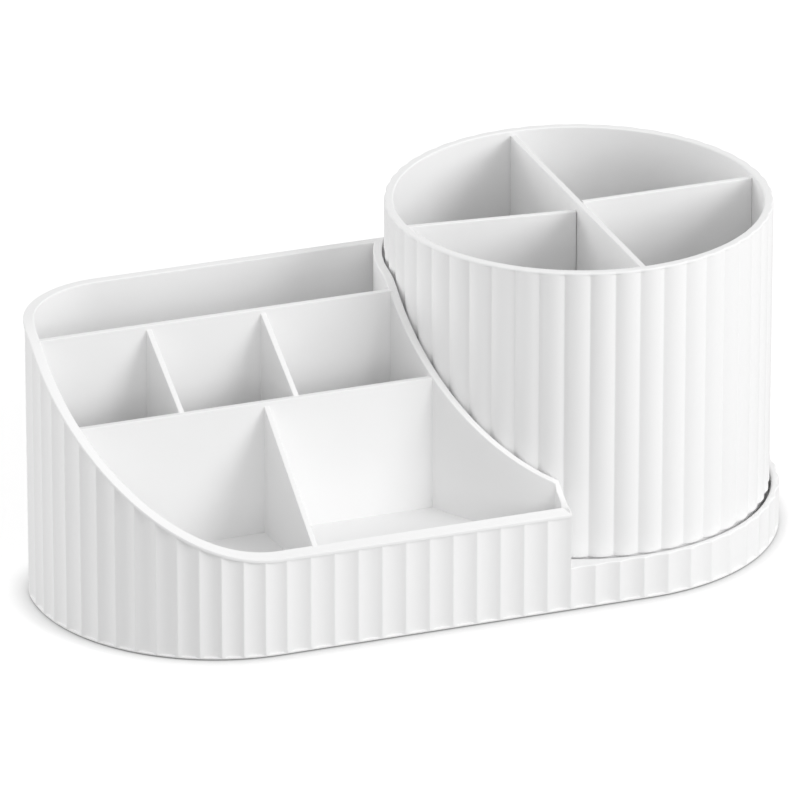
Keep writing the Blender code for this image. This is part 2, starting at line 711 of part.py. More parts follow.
def base_plate(shop):
    """The flat cover under the tray and the well, with seats for feet and screws."""
    plate = shop.prism("base_plate", lobe_outline(WALL + PLATE_GAP, -plate_lobe_end), plate_bottom,
                       plate_top, "white")
    disc = shop.rod("base_plate_disc", pocket_radius - PLATE_GAP, plate_bottom, plate_top, "cutter",
                    sides=2 * ROUND_SIDES)
    combine(plate, disc, 'UNION')
    for number, at in enumerate(foot_places(), 1):
        combine(plate, shop.rod(f"foot_seat_{number}", FOOT_RADIUS + FIT, plate_bottom - OVERRUN,
                                FOOT_THICKNESS + FIT, "cutter", sides=2 * SMALL_SIDES, at=at))
    head = PLATE_SCREW_HEAD_RADIUS + FIT
    shank = PLATE_SCREW_SHANK + FIT
    profile = [(0, plate_top + OVERRUN), (shank, plate_top + OVERRUN),
               (shank, plate_bottom + PLATE_SCREW_HEAD + FIT), (head, plate_bottom + SCREW_RIM + FIT),
               (head, plate_bottom - OVERRUN), (0, plate_bottom - OVERRUN)]
    for number, at in enumerate(plate_screw_places(), 1):
        combine(plate, shop.turned(f"plate_screw_seat_{number}", profile, "cutter", SMALL_SIDES, at))
    return plate


def feet(shop):
    """Soft pads let into the base plate, which the organizer stands on."""
    for number, at in enumerate(foot_places(), 1):
        shop.rod(f"foot_{number}", FOOT_RADIUS, 0, FOOT_THICKNESS, "rubber", sides=2 * SMALL_SIDES, at=at)


def countersunk_screw(shop, name, at, face, up, head_radius, head, shank, length):
    """A countersunk screw whose head lies in a face, pointing up or down."""
    sign = 1 if up else -1
    profile = [(0, face), (head_radius, face), (head_radius, face + sign * SCREW_RIM),
               (shank, face + sign * head), (shank, face + sign * (length - SCREW_POINT)),
               (0, face + sign * length)]
    if up:
        profile.reverse()
    return shop.turned(name, profile, "steel", SMALL_SIDES, at)


def plate_screws(shop):
    for number, at in enumerate(plate_screw_places(), 1):
        countersunk_screw(shop, f"base_screw_{number}", at, plate_bottom + FIT, True,
                          PLATE_SCREW_HEAD_RADIUS, PLATE_SCREW_HEAD, PLATE_SCREW_SHANK, PLATE_SCREW_LENGTH)


def race(shop, name, back, face):
    """One ring of the bearing, with its groove, from its back face to its running face."""
    sign = 1 if face > back else -1
    profile = [(race_inner, back), (race_inner, face), *groove_arc(sign),
               (race_outer, face), (race_outer, back)]
    if sign < 0:
        profile.reverse()
    return shop.turned(name, profile, "bearing", closed=True)


def groove_arc(sign):
    """Points along a ball groove, from its inner to its outer edge."""
    radius = BALL_RADIUS + FIT
    start = math.acos(RACE_GAP / 2 / radius)
    spots = []
    for step in range(GROOVE_STEPS + 1):
        turn = start * (2 * step / GROOVE_STEPS - 1)
        spots.append((ball_circle + radius * math.sin(turn), ball_height - sign * radius * math.cos(turn)))
    return spots


def race_screw_holes(shop, ring, name, face, up, offset):
    """Countersunk holes through a race."""
    sign = 1 if up else -1
    head = RACE_SCREW_HEAD_RADIUS + FIT
    shank = RACE_SCREW_SHANK + FIT
    profile = [(0, face - sign * OVERRUN), (head, face - sign * OVERRUN),
               (head, face + sign * (SCREW_RIM + FIT)), (shank, face + sign * (RACE_SCREW_HEAD + FIT)),
               (shank, face + sign * (RACE + OVERRUN)), (0, face + sign * (RACE + OVERRUN))]
    if up:
        profile.reverse()
    for number, at in enumerate(ring_places(race_screw_circle, race_turns(offset)), 1):
        combine(ring, shop.turned(f"{name}_{number}", profile, "cutter", SMALL_SIDES, at))


def race_screws(shop, name, face, up, offset):
    sign = 1 if up else -1
    for number, at in enumerate(ring_places(race_screw_circle, race_turns(offset)), 1):
        countersunk_screw(shop, f"{name}_{number}", at, face + sign * FIT, up, RACE_SCREW_HEAD_RADIUS,
                          RACE_SCREW_HEAD, RACE_SCREW_SHANK, RACE_SCREW_LENGTH)


def lower_race(shop):
    ring = race(shop, "lower_race", lower_race_bottom, lower_race_top)
    race_screw_holes(shop, ring, "lower_race_hole", lower_race_top, False, 0)
    race_screws(shop, "lower_race_screw", lower_race_top, False, 0)


def upper_race(shop, offset):
    ring = race(shop, "upper_race", upper_race_top, upper_race_bottom)
    race_screw_holes(shop, ring, "upper_race_hole", upper_race_bottom, True, offset)
    race_screws(shop, "upper_race_screw", upper_race_bottom, True, offset)


def ball_cage(shop):
    """A flat ring with a pocket for each ball."""
    inner, outer = ball_circle - CAGE_WIDTH / 2, ball_circle + CAGE_WIDTH / 2
    turns = [2 * math.pi * step / ROUND_SIDES for step in range(ROUND_SIDES)]
    small = [2 * math.pi * step / SMALL_SIDES for step in range(SMALL_SIDES)]
    holes = [ring_places(inner, turns)]
    for x, y in ring_places(ball_circle, ball_turns()):
        holes.append([(x + dx, y + dy) for dx, dy in ring_places(BALL_RADIUS + FIT, small)])
    shop.prism("ball_cage", ring_places(outer, turns), ball_height - CAGE / 2, ball_height + CAGE / 2,
               "bearing", holes)


def ball_turns():
    return [2 * math.pi * number / BALL_COUNT for number in range(BALL_COUNT)]


def balls(shop):
    """The steel balls, each its own piece, all on one shared mesh."""
    mesh = bpy.data.meshes.new("ball")
    edit = bmesh.new()
    bmesh.ops.create_uvsphere(edit, u_segments=12, v_segments=8, radius=BALL_RADIUS)
    edit.to_mesh(mesh)
    edit.free()
    mesh.shade_smooth()
    for number, (x, y) in enumerate(ring_places(ball_circle, ball_turns()), 1):
        ball = shop.mesh_object(f"ball_{number:02d}", mesh, "steel")
        ball.location = (x, y, ball_height)


def reeded_outline():
    """The cup's outside: convex reeds that meet in narrow valleys."""
    spots = []
    steps = FLUTE_STEPS
    for step in range(REED_COUNT * steps):
        share = step % steps / steps
        radius = CUP_RADIUS - REED_DEPTH * (1 - 2 * share)**2
        turn = REED_TURN + 2 * math.pi * step / (REED_COUNT * steps)
        spots.append((radius * math.cos(turn), radius * math.sin(turn)))
    return spots


def cup_shell(shop):
    """The reeded cup with its floor, skirt and the post that it turns on."""
    cup = shop.prism("cup_shell", reeded_outline(), skirt_bottom, cup_top, "white")
    bevel = cup.modifiers.new("Rim edge", 'BEVEL')
    bevel.width = CUP_EDGE_ROUND
    bevel.segments = 1
    bevel.limit_method = 'ANGLE'
    bevel.angle_limit = math.radians(75)
    combine(cup, shop.rod("cup_bore", cup_bore, cup_floor_top, cup_top + OVERRUN, "cutter",
                          sides=2 * ROUND_SIDES))
    combine(cup, shop.rod("cup_underside", cup_bore, skirt_bottom - OVERRUN, cup_floor_bottom, "cutter",
                          sides=2 * ROUND_SIDES))
    combine(cup, shop.rod("cup_post", POST_RADIUS, dish_bottom, cup_floor_bottom + CUP_FLOOR / 2, "cutter",
                          sides=ROUND_SIDES // 2), 'UNION')
    pilot_top = pivot_head_bottom + PIVOT_LENGTH + FIT
    combine(cup, shop.rod("pivot_pilot", PIVOT_SHANK + FIT, dish_bottom - OVERRUN, pilot_top, "cutter"))
    race_pilot_top = upper_race_bottom + RACE_SCREW_LENGTH + 2 * FIT
    for number, at in enumerate(ring_places(race_screw_circle, race_turns(math.pi / RACE_SCREW_COUNT)), 1):
        combine(cup, shop.rod(f"race_pilot_{number}", RACE_SCREW_SHANK + FIT, cup_floor_bottom - OVERRUN,
                              race_pilot_top, "cutter", at=at))
    return cup


def upright(obj, turn):
    """Stand a flat plate up on its lower edge, facing a direction."""
    obj.data.transform(Matrix.Rotation(turn, 4, 'Z') @ Matrix.Rotation(math.pi / 2, 4, 'X'))
    return obj


def cup_dividers(shop):
    """Two plates that cross in the cup and slot into each other at half height."""
    reach = cup_bore - FIT
    low = cup_floor_top + FIT
    high = cup_top - CUP_WALL_DROP
    middle = (low + high) / 2
    half = CUP_WALL_THICKNESS / 2
    slot = half + FIT
    long_plate = [(-reach, low), (-slot, low), (-slot, middle + FIT / 2), (slot, middle + FIT / 2),
                  (slot, low), (reach, low), (reach, high), (-reach, high)]
    upright(shop.prism("cup_divider_long", long_plate, -half, half, "white"), math.pi / 2)
    cross_plate = [(-reach, low), (reach, low), (reach, high), (slot, high), (slot, middle - FIT / 2),
                   (-slot, middle - FIT / 2), (-slot, high - CUP_WALL_DIP), (-reach, high)]
    upright(shop.prism("cup_divider_cross", cross_plate, -half, half, "white"), 0)


def pivot(shop):
    """The screw and washer that hold the cup down on the dish."""
    washer_hole = PIVOT_SHANK + FIT
    profile = [(washer_hole, washer_bottom + WASHER), (WASHER_RADIUS, washer_bottom + WASHER),
               (WASHER_RADIUS, washer_bottom), (washer_hole, washer_bottom)]
    shop.turned("pivot_washer", profile, "steel", ROUND_SIDES // 2, closed=True)
    head_top = pivot_head_bottom + PIVOT_HEAD
    tip = pivot_head_bottom + PIVOT_LENGTH
    profile = [(0, tip), (PIVOT_SHANK, tip - SCREW_POINT), (PIVOT_SHANK, head_top),
               (PIVOT_HEAD_RADIUS, head_top), (PIVOT_HEAD_RADIUS, pivot_head_bottom), (0, pivot_head_bottom)]
    shop.turned("pivot_screw", profile, "steel", SMALL_SIDES)


def axis_place():
    """Where the cup's axis stands, so that the origin is in the middle of the footprint."""
    ring = [point + normal * flute for point, normal, flute in ring_outside()]
    right = max(point.x for point in ring)
    back = max(point.y for point in ring)
    left = left_line - LIP_PROUD
    front = front_line - LIP_PROUD
    return -(left + right) / 2, -(front + back) / 2


def joint_empty(shop, name, place):
    empty = bpy.data.objects.new(name, None)
    shop.parts.objects.link(empty)
    empty.location = (*place, 0)
    return empty


def main():
    for obj in list(bpy.data.objects):
        bpy.data.objects.remove(obj)
    shop = Shop()
    place = axis_place()

    shop.parent = joint_empty(shop, "standing_axis", place)
    tray_body(shop)
    base_plate(shop)
    feet(shop)
    plate_screws(shop)
    lower_race(shop)

    shop.parent = joint_empty(shop, "cage_axis", place)
    ball_cage(shop)
    balls(shop)

    shop.parent = joint_empty(shop, "cup_axis", place)
    cup_shell(shop)
    cup_dividers(shop)
    upper_race(shop, math.pi / RACE_SCREW_COUNT)
    pivot(shop)
    print("cup axis at", [round(value, 6) for value in place])


main()
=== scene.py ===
"""Rotating make-up organizer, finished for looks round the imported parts.

A white fluted tray with dividers stands beside a reeded cup that turns in a low fluted
ring. Pieces are modelled about the cup's upright axis and then moved to its place.
"""
import json
import math

import bpy
from bpy.props import FloatProperty, FloatVectorProperty, IntProperty, PointerProperty
from mathutils import Matrix, Vector


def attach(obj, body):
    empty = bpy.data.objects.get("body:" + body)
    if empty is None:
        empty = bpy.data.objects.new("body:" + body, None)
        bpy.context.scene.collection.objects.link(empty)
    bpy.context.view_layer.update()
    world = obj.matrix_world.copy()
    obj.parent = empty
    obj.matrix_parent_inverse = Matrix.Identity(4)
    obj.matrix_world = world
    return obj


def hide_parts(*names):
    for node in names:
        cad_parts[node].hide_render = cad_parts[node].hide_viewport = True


bl_info = {
    "name": "Make-up organizer",
    "version": (1, 0, 0),
    "blender": (4, 5, 0),
    "location": "3D View > Sidebar > Organizer",
    "description": "Models a fluted desk tray with a reeded cup that turns in its ring",
    "category": "Add Mesh",
}

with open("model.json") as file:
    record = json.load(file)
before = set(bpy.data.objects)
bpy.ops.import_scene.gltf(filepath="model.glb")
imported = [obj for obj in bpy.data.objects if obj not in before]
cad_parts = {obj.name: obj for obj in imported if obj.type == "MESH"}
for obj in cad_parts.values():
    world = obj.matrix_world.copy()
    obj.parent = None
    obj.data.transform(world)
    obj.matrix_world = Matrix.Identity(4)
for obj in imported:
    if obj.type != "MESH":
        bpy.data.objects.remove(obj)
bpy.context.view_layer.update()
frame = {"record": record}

MM = 0.001
SEW = 0.002 * MM                # points closer than this are one
OVERRUN = 1.0 * MM              # of a cutter past what it cuts
BITE = 1.0 * MM                 # of a floor or a divider into a wall
EASE = 0.2 * MM                 # a small step or a broken edge
CREASE = math.radians(33)       # sharper edges stay sharp
# Places across one flute or reed, close together beside its sharp edge
FLUTE_shares = (0, 0.025, 0.06, 0.12, 0.21, 0.35, 0.5, 0.65, 0.79, 0.88, 0.94, 0.975)
EDGE_SOFTNESS = 0.1             # how far that sharp edge is eased
END_WALL_shares = (0.15, 0.3, 0.45, 0.6, 0.75, 0.88)
END_share = 0.4131              # where the front wall ends, of the ring's radius
END_SLANT = 1.1 * MM            # how far the short wall there runs on to the left
END_STEP = 0.5 * MM             # between the ends that lie hidden in that wall
ARC_GAP = 0.2 * MM              # from the ring's well to the wall beside the cup
TUCKED_SLICES = 26              # slices beside a mitre that may be gathered into it
TUCK_TOUCH = 0.01 * MM          # how near the mitre they may come
ARC_STEP = math.radians(1.5)
ROUND_SIDES = 96
FOOT_SIDES = 64
SMALL_SIDES = 32
# Under the cup, each place is counted inwards from one further out
BOSS_IN, FOOT_IN, RACE_IN, BALL_IN, SCREW_IN, BORE_IN = [
    size * MM for size in (10.0, 12.5, 8.5, 4.5, 5.7, 3.8)]
# Clear holes for the screws of the base plate and of the races
BASE_HOLE, RACE_HOLE = 1.55 * MM, 1.3 * MM

JOINTS = {joint["name"]: joint for joint in frame["record"]["behaviour"]["joints"]}
AXIS = Vector((*JOINTS["cup_turn"]["pos_m"][:2], 0))


# Sizes and colours that a user may change

def length(name, value, words):
    return FloatProperty(name=name, description=words, default=value * MM, min=0,
                         unit='LENGTH', subtype='DISTANCE')


def angle(name, value, words):
    return FloatProperty(name=name, description=words, default=math.radians(value), subtype='ANGLE')


def share(name, value, words):
    return FloatProperty(name=name, description=words, default=value, min=0, max=1, subtype='FACTOR')


def number(name, value, words):
    return IntProperty(name=name, description=words, default=value, min=1)


def level(name, value, words):
    return FloatProperty(name=name, description=words, default=value, min=0)


def colour(name, value, words):
    return FloatVectorProperty(name=name, description=words, default=value, min=0, max=1,
                               size=3, subtype='COLOR')


class CupSizes(bpy.types.PropertyGroup):
    """The turning cup."""
    radius: length("Radius", 65.0, "Over the crests of the reeds")
    rim_width: length("Rim width", 3.1, "From a crest to the bore")
    height: length("Height", 105.3, "From the lower edge of the skirt to the rim")
    skirt: length("Skirt", 3.0, "How far the wall hangs below the floor")
    floor: length("Floor", 3.2, "Thickness of the floor")
    rim_round: length("Rim rounding", 0.55, "Radius on the edges of the rim")
    rim_band: length("Rim band", 0.3, "Height of the smoother band between that rounding and the reeds")
    rim_scallop: share("Rim scallop", 0.45, "Share of the reeds' depth that the rim keeps")
    skirt_inset: length("Skirt inset", 1.2, "How far the smooth skirt lies inside the reeds' crests")
    skirt_dip: length("Skirt dip", 0.3, "How far the reeds reach below the top of the ring")
    corner_round: length("Floor corner", 1.0, "Radius where the wall meets the floor")
    reeds: number("Reeds", 48, "Reeds round the cup")
    reed_depth: length("Reed depth", 0.9, "From a crest to a valley")
    reed_turn: angle("Reed turn", -2.6, "Of the reeds against the crossing plates")
    plate: length("Plates", 2.0, "Thickness of the two crossing plates")
    plate_drop: length("Plate drop", 1.6, "How far the plates' tops lie below the rim")
    plate_dip: length("Plate dip", 3.0, "How far one plate's left half slopes down to the middle")
    post: length("Post", 6.0, "Radius of the post under the floor")


class TraySizes(bpy.types.PropertyGroup):
    """The fluted tray beside the cup."""
    reach: length("Reach", 193.8, "From the cup's axis to the left side")
    depth: length("Depth", 100.5, "From front to back")
    front_corner: length("Front corner", 64.0, "Radius of the left front corner")
    back_corner: length("Back corner", 34.0, "Radius of the left back corner")
    wall: length("Wall", 3.3, "From the arrises to the inner face")
    inner_wall: length("Wall beside the cup", 2.8, "Its thickness")
    end_wall: length("End wall", 2.1, "Thickness of the short wall at the front, beside the cup")
    floor_top: length("Floor height", 26.0, "Top of the raised floor")
    floor: length("Floor", 2.4, "Thickness of the floor")
    rim_front: length("Front height", 36.7, "The rim's height along the front")
    rim_back: length("Back height", 99.0, "The rim's height along the back")
    rim_pitch: angle("Rim slope", 43.0, "Slope of the rim beside the cup")
    rim_start: length("Slope start", 2.1, "Where the slope would start behind the front")
    low_round: length("Low bend", 5.0, "Radius of the rim's bend at the front")
    high_round: length("High bend", 12.0, "Radius of the rim's bend at the back")
    side_pitch: angle("Side slope", 46.8, "Slope round the left side, where it leaves the front rim")
    side_bow: length("Side bow", 560.0, "Radius of the slope round the left side")
    side_round: length("Side bend", 25.0, "Radius where that slope meets the back rim")
    lip_face: length("Lip face", 1.35, "Height of the lip's outer face")
    lip_proud: length("Lip", 0.3, "How far the lip stands outside the arrises")
    lip_proud_arc: length("Lip beside the cup", 0.1, "How far it stands out there")
    lip_round: length("Lip rounding", 0.45, "Radius of the lip's outer edge")
    lip_inner_round: length("Inner rounding", 0.5, "Radius of the lip's inner edge")
    rim_lean: length("Rim lean", 1.3, "How far the front rim's top falls towards the front")
    flute_pitch: length("Flute pitch", 8.3, "From arris to arris")
    corner_pitch: length("Corner pitch", 7.4, "From arris to arris round the front corner")
    ring_pitch: length("Ring pitch", 8.7, "From arris to arris round the ring")
    flute_depth: length("Flute depth", 0.75, "Of the hollow between two arrises")
    foot_round: length("Foot rounding", 0.3, "Radius on the lower edge")
    foot_band: length("Foot band", 0.3, "Height of the smooth band under the flutes")
    foot_inset: length("Foot inset", 0.1, "How far that band lies inside the arrises")
    divider: length("Long dividers", 2.2, "Thickness of the two long dividers")
    cross: length("Cross dividers", 1.9, "Thickness of the three short dividers")
    divider_round: length("Divider tops", 0.28, "Radius on the dividers' top edges")
    divider_drop: length("Divider drop", 0.3, "How far the long dividers lie below the rim")
    back_divider: share("Back divider", 0.6507, "Its place, as a share of the depth")
    middle_divider: share("Middle divider", 0.4109, "Its place, as a share of the depth")
    cross_1: share("First cross", 0.791, "Left cross divider, as a share of the reach")
    cross_2: share("Second cross", 0.5851, "Middle cross divider, as a share of the reach")
    cross_3: share("Front cross", 0.6228, "Front cross divider, as a share of the reach")
    back_lean: angle("Back lean", 9.0, "Turn of the two cross dividers behind")
    front_lean: angle("Front lean", 5.0, "Turn of the cross divider in front")


class RingSizes(bpy.types.PropertyGroup):
    """The low ring and the dish that the cup stands in."""
    gap: length("Gap", 0.6, "Between the reeds and the ring")
    wall: length("Wall", 2.9, "From the well to the arrises")
    lap: length("Lap", 3.0, "How far the ring stands above the cup's lower edge")
    floor: length("Dish", 2.2, "Thickness of the dish")
    edge_round: length("Edge rounding", 0.5, "Radius on the ring's outer top edge")
    well_round: length("Well rounding", 1.0, "Radius on the ring's inner top edge")
    collar: length("Collar", 3.0, "Wall of the collar round the post")
    collar_height: length("Collar height", 4.5, "Above the dish")


class BaseSizes(bpy.types.PropertyGroup):
    """Base plate, feet, bearing and screws."""
    fit: length("Fit", 0.3, "Between pieces that seat on each other")
    run: length("Run", 0.4, "Between pieces that turn past each other")
    proud: length("Foot proud", 0.4, "How far the feet stand below the plate")
    foot: length("Foot", 1.4, "Thickness of a foot")
    foot_radius: length("Foot radius", 7.0, "Radius of a foot")
    plate: length("Base plate", 2.0, "Thickness of the base plate")
    plate_gap: length("Plate gap", 0.35, "Round the base plate")
    washer: length("Washer", 1.1, "Thickness of the washer")
    washer_radius: length("Washer radius", 10.0, "Radius of the washer")
    race: length("Races", 2.2, "Thickness of a bearing race")
    race_gap: length("Race gap", 2.4, "Between the two races")
    balls: number("Balls", 12, "Balls in the bearing")
    ball: length("Balls", 2.0, "Radius of a ball")
    cage: length("Cage", 1.6, "Thickness of the ball cage")
    cage_width: length("Cage width", 7.2, "From its inner to its outer edge")


class Finishes(bpy.types.PropertyGroup):
    """Colours and gloss."""
    white: colour("White", (0.90, 0.90, 0.90), "Moulded plastic of the tray and the cup")
    white_rough: share("White roughness", 0.42, "Roughness of the white plastic")
    bearing: colour("Bearing", (0.80, 0.80, 0.78), "Natural plastic of the races and the cage")
    steel: colour("Steel", (0.62, 0.62, 0.63), "Screws, balls and washer")
    rubber: colour("Rubber", (0.55, 0.55, 0.55), "Soft feet")


class StageSettings(bpy.types.PropertyGroup):
    """Camera, lamps and floor."""
    azimuth: angle("Azimuth", -20.13, "The camera's place round the object, from its front")
    elevation: angle("Elevation", 23.81, "The camera's height")
    distance: level("Distance", 3.340, "From the camera to the object, in metres")
    lens: level("Lens", 450.0, "Focal length in millimetres")
    key: level("Key light", 0.45, "Share of the light that the main lamp gives")
    fill: level("Fill light", 0.07, "Share of the light from the front")
    side: level("Side light", 0.30, "Share of the light from the left, behind the object")
    sky: level("Sky", 0.88, "Even light from all round")
    bounce: share("Floor bounce", 0.50, "How pale the floor is to the object")
    # The floor's contact shadow is painted shade, drawn into its colour by ambient occlusion; this is how far
    # it reaches
    contact: length("Contact shadow", 9.0, "How far it reaches from the object over the floor")


class Organizer(bpy.types.PropertyGroup):
    """All sizes and colours of the organizer."""
    cup: PointerProperty(type=CupSizes)
    tray: PointerProperty(type=TraySizes)
    ring: PointerProperty(type=RingSizes)
    base: PointerProperty(type=BaseSizes)
    finish: PointerProperty(type=Finishes)
    stage: PointerProperty(type=StageSettings)


class Layout:
    """Heights and places that follow from the sizes."""

    def __init__(self, kit):
        cup, tray, ring, base = kit.cup, kit.tray, kit.ring, kit.base
        self.plate_low = base.proud
        self.plate_high = self.plate_low + base.plate
        self.pivot_low = self.plate_high + base.run
        self.pivot_head = 1.2 * MM
        self.washer_low = self.pivot_low + self.pivot_head + base.fit
        self.dish_low = self.washer_low + base.washer + base.run
        self.dish_high = self.dish_low + ring.floor
        self.lower_race = self.dish_high + base.fit
        self.lower_face = self.lower_race + base.race
        self.ball_height = self.lower_face + base.race_gap / 2
        self.upper_face = self.lower_face + base.race_gap
        self.upper_race = self.upper_face + base.race
        self.cup_under = self.upper_race + base.fit
        self.cup_floor = self.cup_under + cup.floor
        self.skirt = self.cup_under - cup.skirt
        self.cup_top = self.skirt + cup.height
        self.ring_top = self.skirt + ring.lap

        self.bore = cup.radius - cup.rim_width
        self.well = cup.radius + ring.gap
        self.ring = self.well + ring.wall
        self.arc = self.well + ARC_GAP
        self.front = -self.ring
        self.back = self.front + tray.depth
        self.left = -tray.reach
        self.end_front = self.ring * END_share
        self.end_back = self.end_front + END_SLANT
        self.ring_end = self.end_back + END_STEP
        self.lobe_end = self.ring_end + END_STEP
        self.post_hole = cup.post + base.run
        self.pocket = self.well - base.fit
        self.boss_circle = self.pocket - BOSS_IN
        self.foot_circle = self.pocket - FOOT_IN
        self.race_outer = self.boss_circle - RACE_IN
        self.ball_circle = self.race_outer - BALL_IN
        self.screw_circle = self.ball_circle - SCREW_IN
        self.race_inner = self.screw_circle - BORE_IN

    def in_tray(self, shares, tray):
        return [(self.left * left, self.front + tray.depth * behind) for left, behind in shares]


def side_rim_height(y, tray, at):
    """Height of the rim round the outside: level, a bowed slope, and level again at the back."""
    bow_y = at.front + tray.side_bow * math.sin(tray.side_pitch)
    bow_z = tray.rim_front - tray.side_bow * math.cos(tray.side_pitch)
    round_z = tray.rim_back - tray.side_round
    inner = tray.side_bow - tray.side_round
    round_y = bow_y - math.sqrt(inner**2 - (round_z - bow_z)**2)
    meet = bow_y - (bow_y - round_y) * tray.side_bow / inner
    if y <= at.front:
        return tray.rim_front
    if y < meet:
        return bow_z + math.sqrt(tray.side_bow**2 - (bow_y - y)**2)
    if y < round_y:
        return round_z + math.sqrt(tray.side_round**2 - (round_y - y)**2)
    return tray.rim_back


def rim_height(y, tray, at):
    """Height of the rim beside the cup: level, a slope with rounded ends, and level again."""
    slope, half = math.tan(tray.rim_pitch), math.tan(tray.rim_pitch / 2)
    foot = at.front + tray.rim_start
    head = foot + (tray.rim_back - tray.rim_front) / slope
    low_start = foot - tray.low_round * half
    low_end = foot + tray.low_round * half * math.cos(tray.rim_pitch)
    high_start = head - tray.high_round * half * math.cos(tray.rim_pitch)
    high_end = head + tray.high_round * half
    if y <= low_start:
        return tray.rim_front
    if y < low_end:
        return tray.rim_front + tray.low_round - math.sqrt(tray.low_round**2 - (y - low_start)**2)
    if y <= high_start:
        return tray.rim_front + slope * (y - foot)
    if y < high_end:
        return tray.rim_back - tray.high_round + math.sqrt(tray.high_round**2 - (high_end - y)**2)
    return tray.rim_back


class Path:
    """A run of straight lines and arcs seen from above, measured by its length."""

    def __init__(self, start, heading):
        self.point = Vector(start)
        self.heading = heading
        self.pieces = []

    def straight(self, run):
        self.pieces.append((run, self.point.copy(), self.heading, 0.0))
        self.point = self.point + run * Vector((math.cos(self.heading), math.sin(self.heading)))

    def bend(self, radius, turn):
        """Turn by an angle, positive to the left, on a circle of this radius."""
        run = abs(turn) * radius
        self.pieces.append((run, self.point.copy(), self.heading, turn / run))
        self.point, self.heading = self.at(run, self.pieces[-1])

    def length(self):
        return sum(piece[0] for piece in self.pieces)

    def at(self, run, piece):
        """Point and heading at a length along one piece."""
        _, start, heading, curl = piece
        if curl == 0:
            return start + run * Vector((math.cos(heading), math.sin(heading))), heading
        turned = heading + curl * run
        across = Vector((math.sin(turned) - math.sin(heading), math.cos(heading) - math.cos(turned)))
        return start + across / curl, turned

    def walk(self, run):
        """Point and left-hand normal at a length along the whole path."""
        for piece in self.pieces:
            if run <= piece[0] + SEW or piece is self.pieces[-1]:
                point, heading = self.at(min(run, piece[0]), piece)
                return point, Vector((-math.sin(heading), math.cos(heading)))
            run -= piece[0]


def swell(place):
    """From 0 at the sharp edge beside a flute or reed to 1 in its middle."""
    rise = 4 * place * (1 - place)
    return (math.hypot(rise, EDGE_SOFTNESS) - EDGE_SOFTNESS) / (math.hypot(1, EDGE_SOFTNESS) - EDGE_SOFTNESS)


def fluted(path, side, depth, *stretches):
    """Stations along a path: a point on the arris line, the normal inwards and the flute's depth.

    Each stretch is the length at which it ends and the pitch that its flutes come near.
    """
    stations = []
    start = 0
    for end, pitch in stretches:
        count = round((end - start) / pitch)
        for place in [flute + place for flute in range(count) for place in FLUTE_shares]:
            point, normal = path.walk(start + (end - start) * place / count)
            stations.append((point, normal * side, depth * swell(place % 1)))
        start = end
    point, normal = path.walk(start)
    return [*stations, (point, normal * side, 0)]


def circle_y(radius, x):
    """The place behind the axis where a circle about it has this x."""
    return math.sqrt(radius**2 - x**2)


def tray_outside(tray, at):
    """Stations round the tray's outside, from the end of its front wall to the cup."""
    straight_front = tray.reach - at.end_front - tray.front_corner
    path = Path((-at.end_front, at.front), math.pi)
    path.straight(straight_front)
    path.bend(tray.front_corner, -math.pi / 2)
    past_corner = path.length()
    path.straight(tray.depth - tray.front_corner - tray.back_corner)
    path.bend(tray.back_corner, -math.pi / 2)
    path.straight(-circle_y(at.arc, at.back) - at.left - tray.back_corner)
    last_wide = math.floor(straight_front / tray.flute_pitch) * tray.flute_pitch
    return fluted(path, -1, tray.flute_depth, (last_wide, tray.flute_pitch), (past_corner, tray.corner_pitch),
                  (path.length(), tray.flute_pitch))


def ring_outside(tray, at):
    """Stations round the ring, from the end of the tray's front wall to inside its back wall."""
    hidden = math.radians(4)
    path = Path((-at.end_front, at.front), 0)
    path.straight(at.end_front)
    path.bend(at.ring, 1.5 * math.pi - math.asin(at.back / at.ring) + hidden)
    return fluted(path, 1, tray.flute_depth, (path.length(), tray.ring_pitch))


def on_circle(radius, turns, height=None):
    spots = [(radius * math.cos(turn), radius * math.sin(turn)) for turn in turns]
    return spots if height is None else [(*spot, height) for spot in spots]


def even_turns(count, first=0.0):
    return [first + 2 * math.pi * step / count for step in range(count)]


def sweep(start, end):
    """Directions from one to another, about one step apart."""
    count = round(abs(end - start) / ARC_STEP)
    return [start + (end - start) * step / count for step in range(count + 1)]


def rounding(middle, radius, start, end, steps):
    """Points along an arc between two directions in degrees."""
    spots = []
    for step in range(steps + 1):
        turn = math.radians(start + (end - start) * step / steps)
        spots.append((middle[0] + radius * math.cos(turn), middle[1] + radius * math.sin(turn)))
    return spots


# Workshop: the few moves that every piece is made with

def activate(obj):
    bpy.ops.object.select_all(action='DESELECT')
    obj.select_set(True)
    bpy.context.view_layer.objects.active = obj


def add(name, primitive, **settings):
    """Add a primitive with nothing else selected, and name it."""
    bpy.ops.object.select_all(action='DESELECT')
    primitive(**settings)
    obj = bpy.context.object
    obj.name = name
    return obj


def sew(obj):
    """Merge doubles and point all faces outwards."""
    activate(obj)
    bpy.ops.object.mode_set(mode='EDIT')
    bpy.ops.mesh.select_all(action='SELECT')
    bpy.ops.mesh.remove_doubles(threshold=SEW)
    bpy.ops.mesh.delete_loose()
    bpy.ops.mesh.select_all(action='SELECT')
    bpy.ops.mesh.normals_make_consistent(inside=False)
    bpy.ops.object.mode_set(mode='OBJECT')
    return obj


def place_points(obj, spots):
    obj.data.vertices.foreach_set("co", [value for spot in spots for value in spot])
    obj.data.update()


def skin(name, rows, around=True):
    """A grid laid over rows of points and sewn up; the last row may join the first."""
    rows = [[*row, row[0]] for row in rows]
    if around:
        rows.append(rows[0])
    obj = add(name, bpy.ops.mesh.primitive_grid_add, size=1,
              x_subdivisions=len(rows[0]) - 1, y_subdivisions=len(rows) - 1)
    place_points(obj, [spot for row in rows for spot in row])
    return sew(obj)


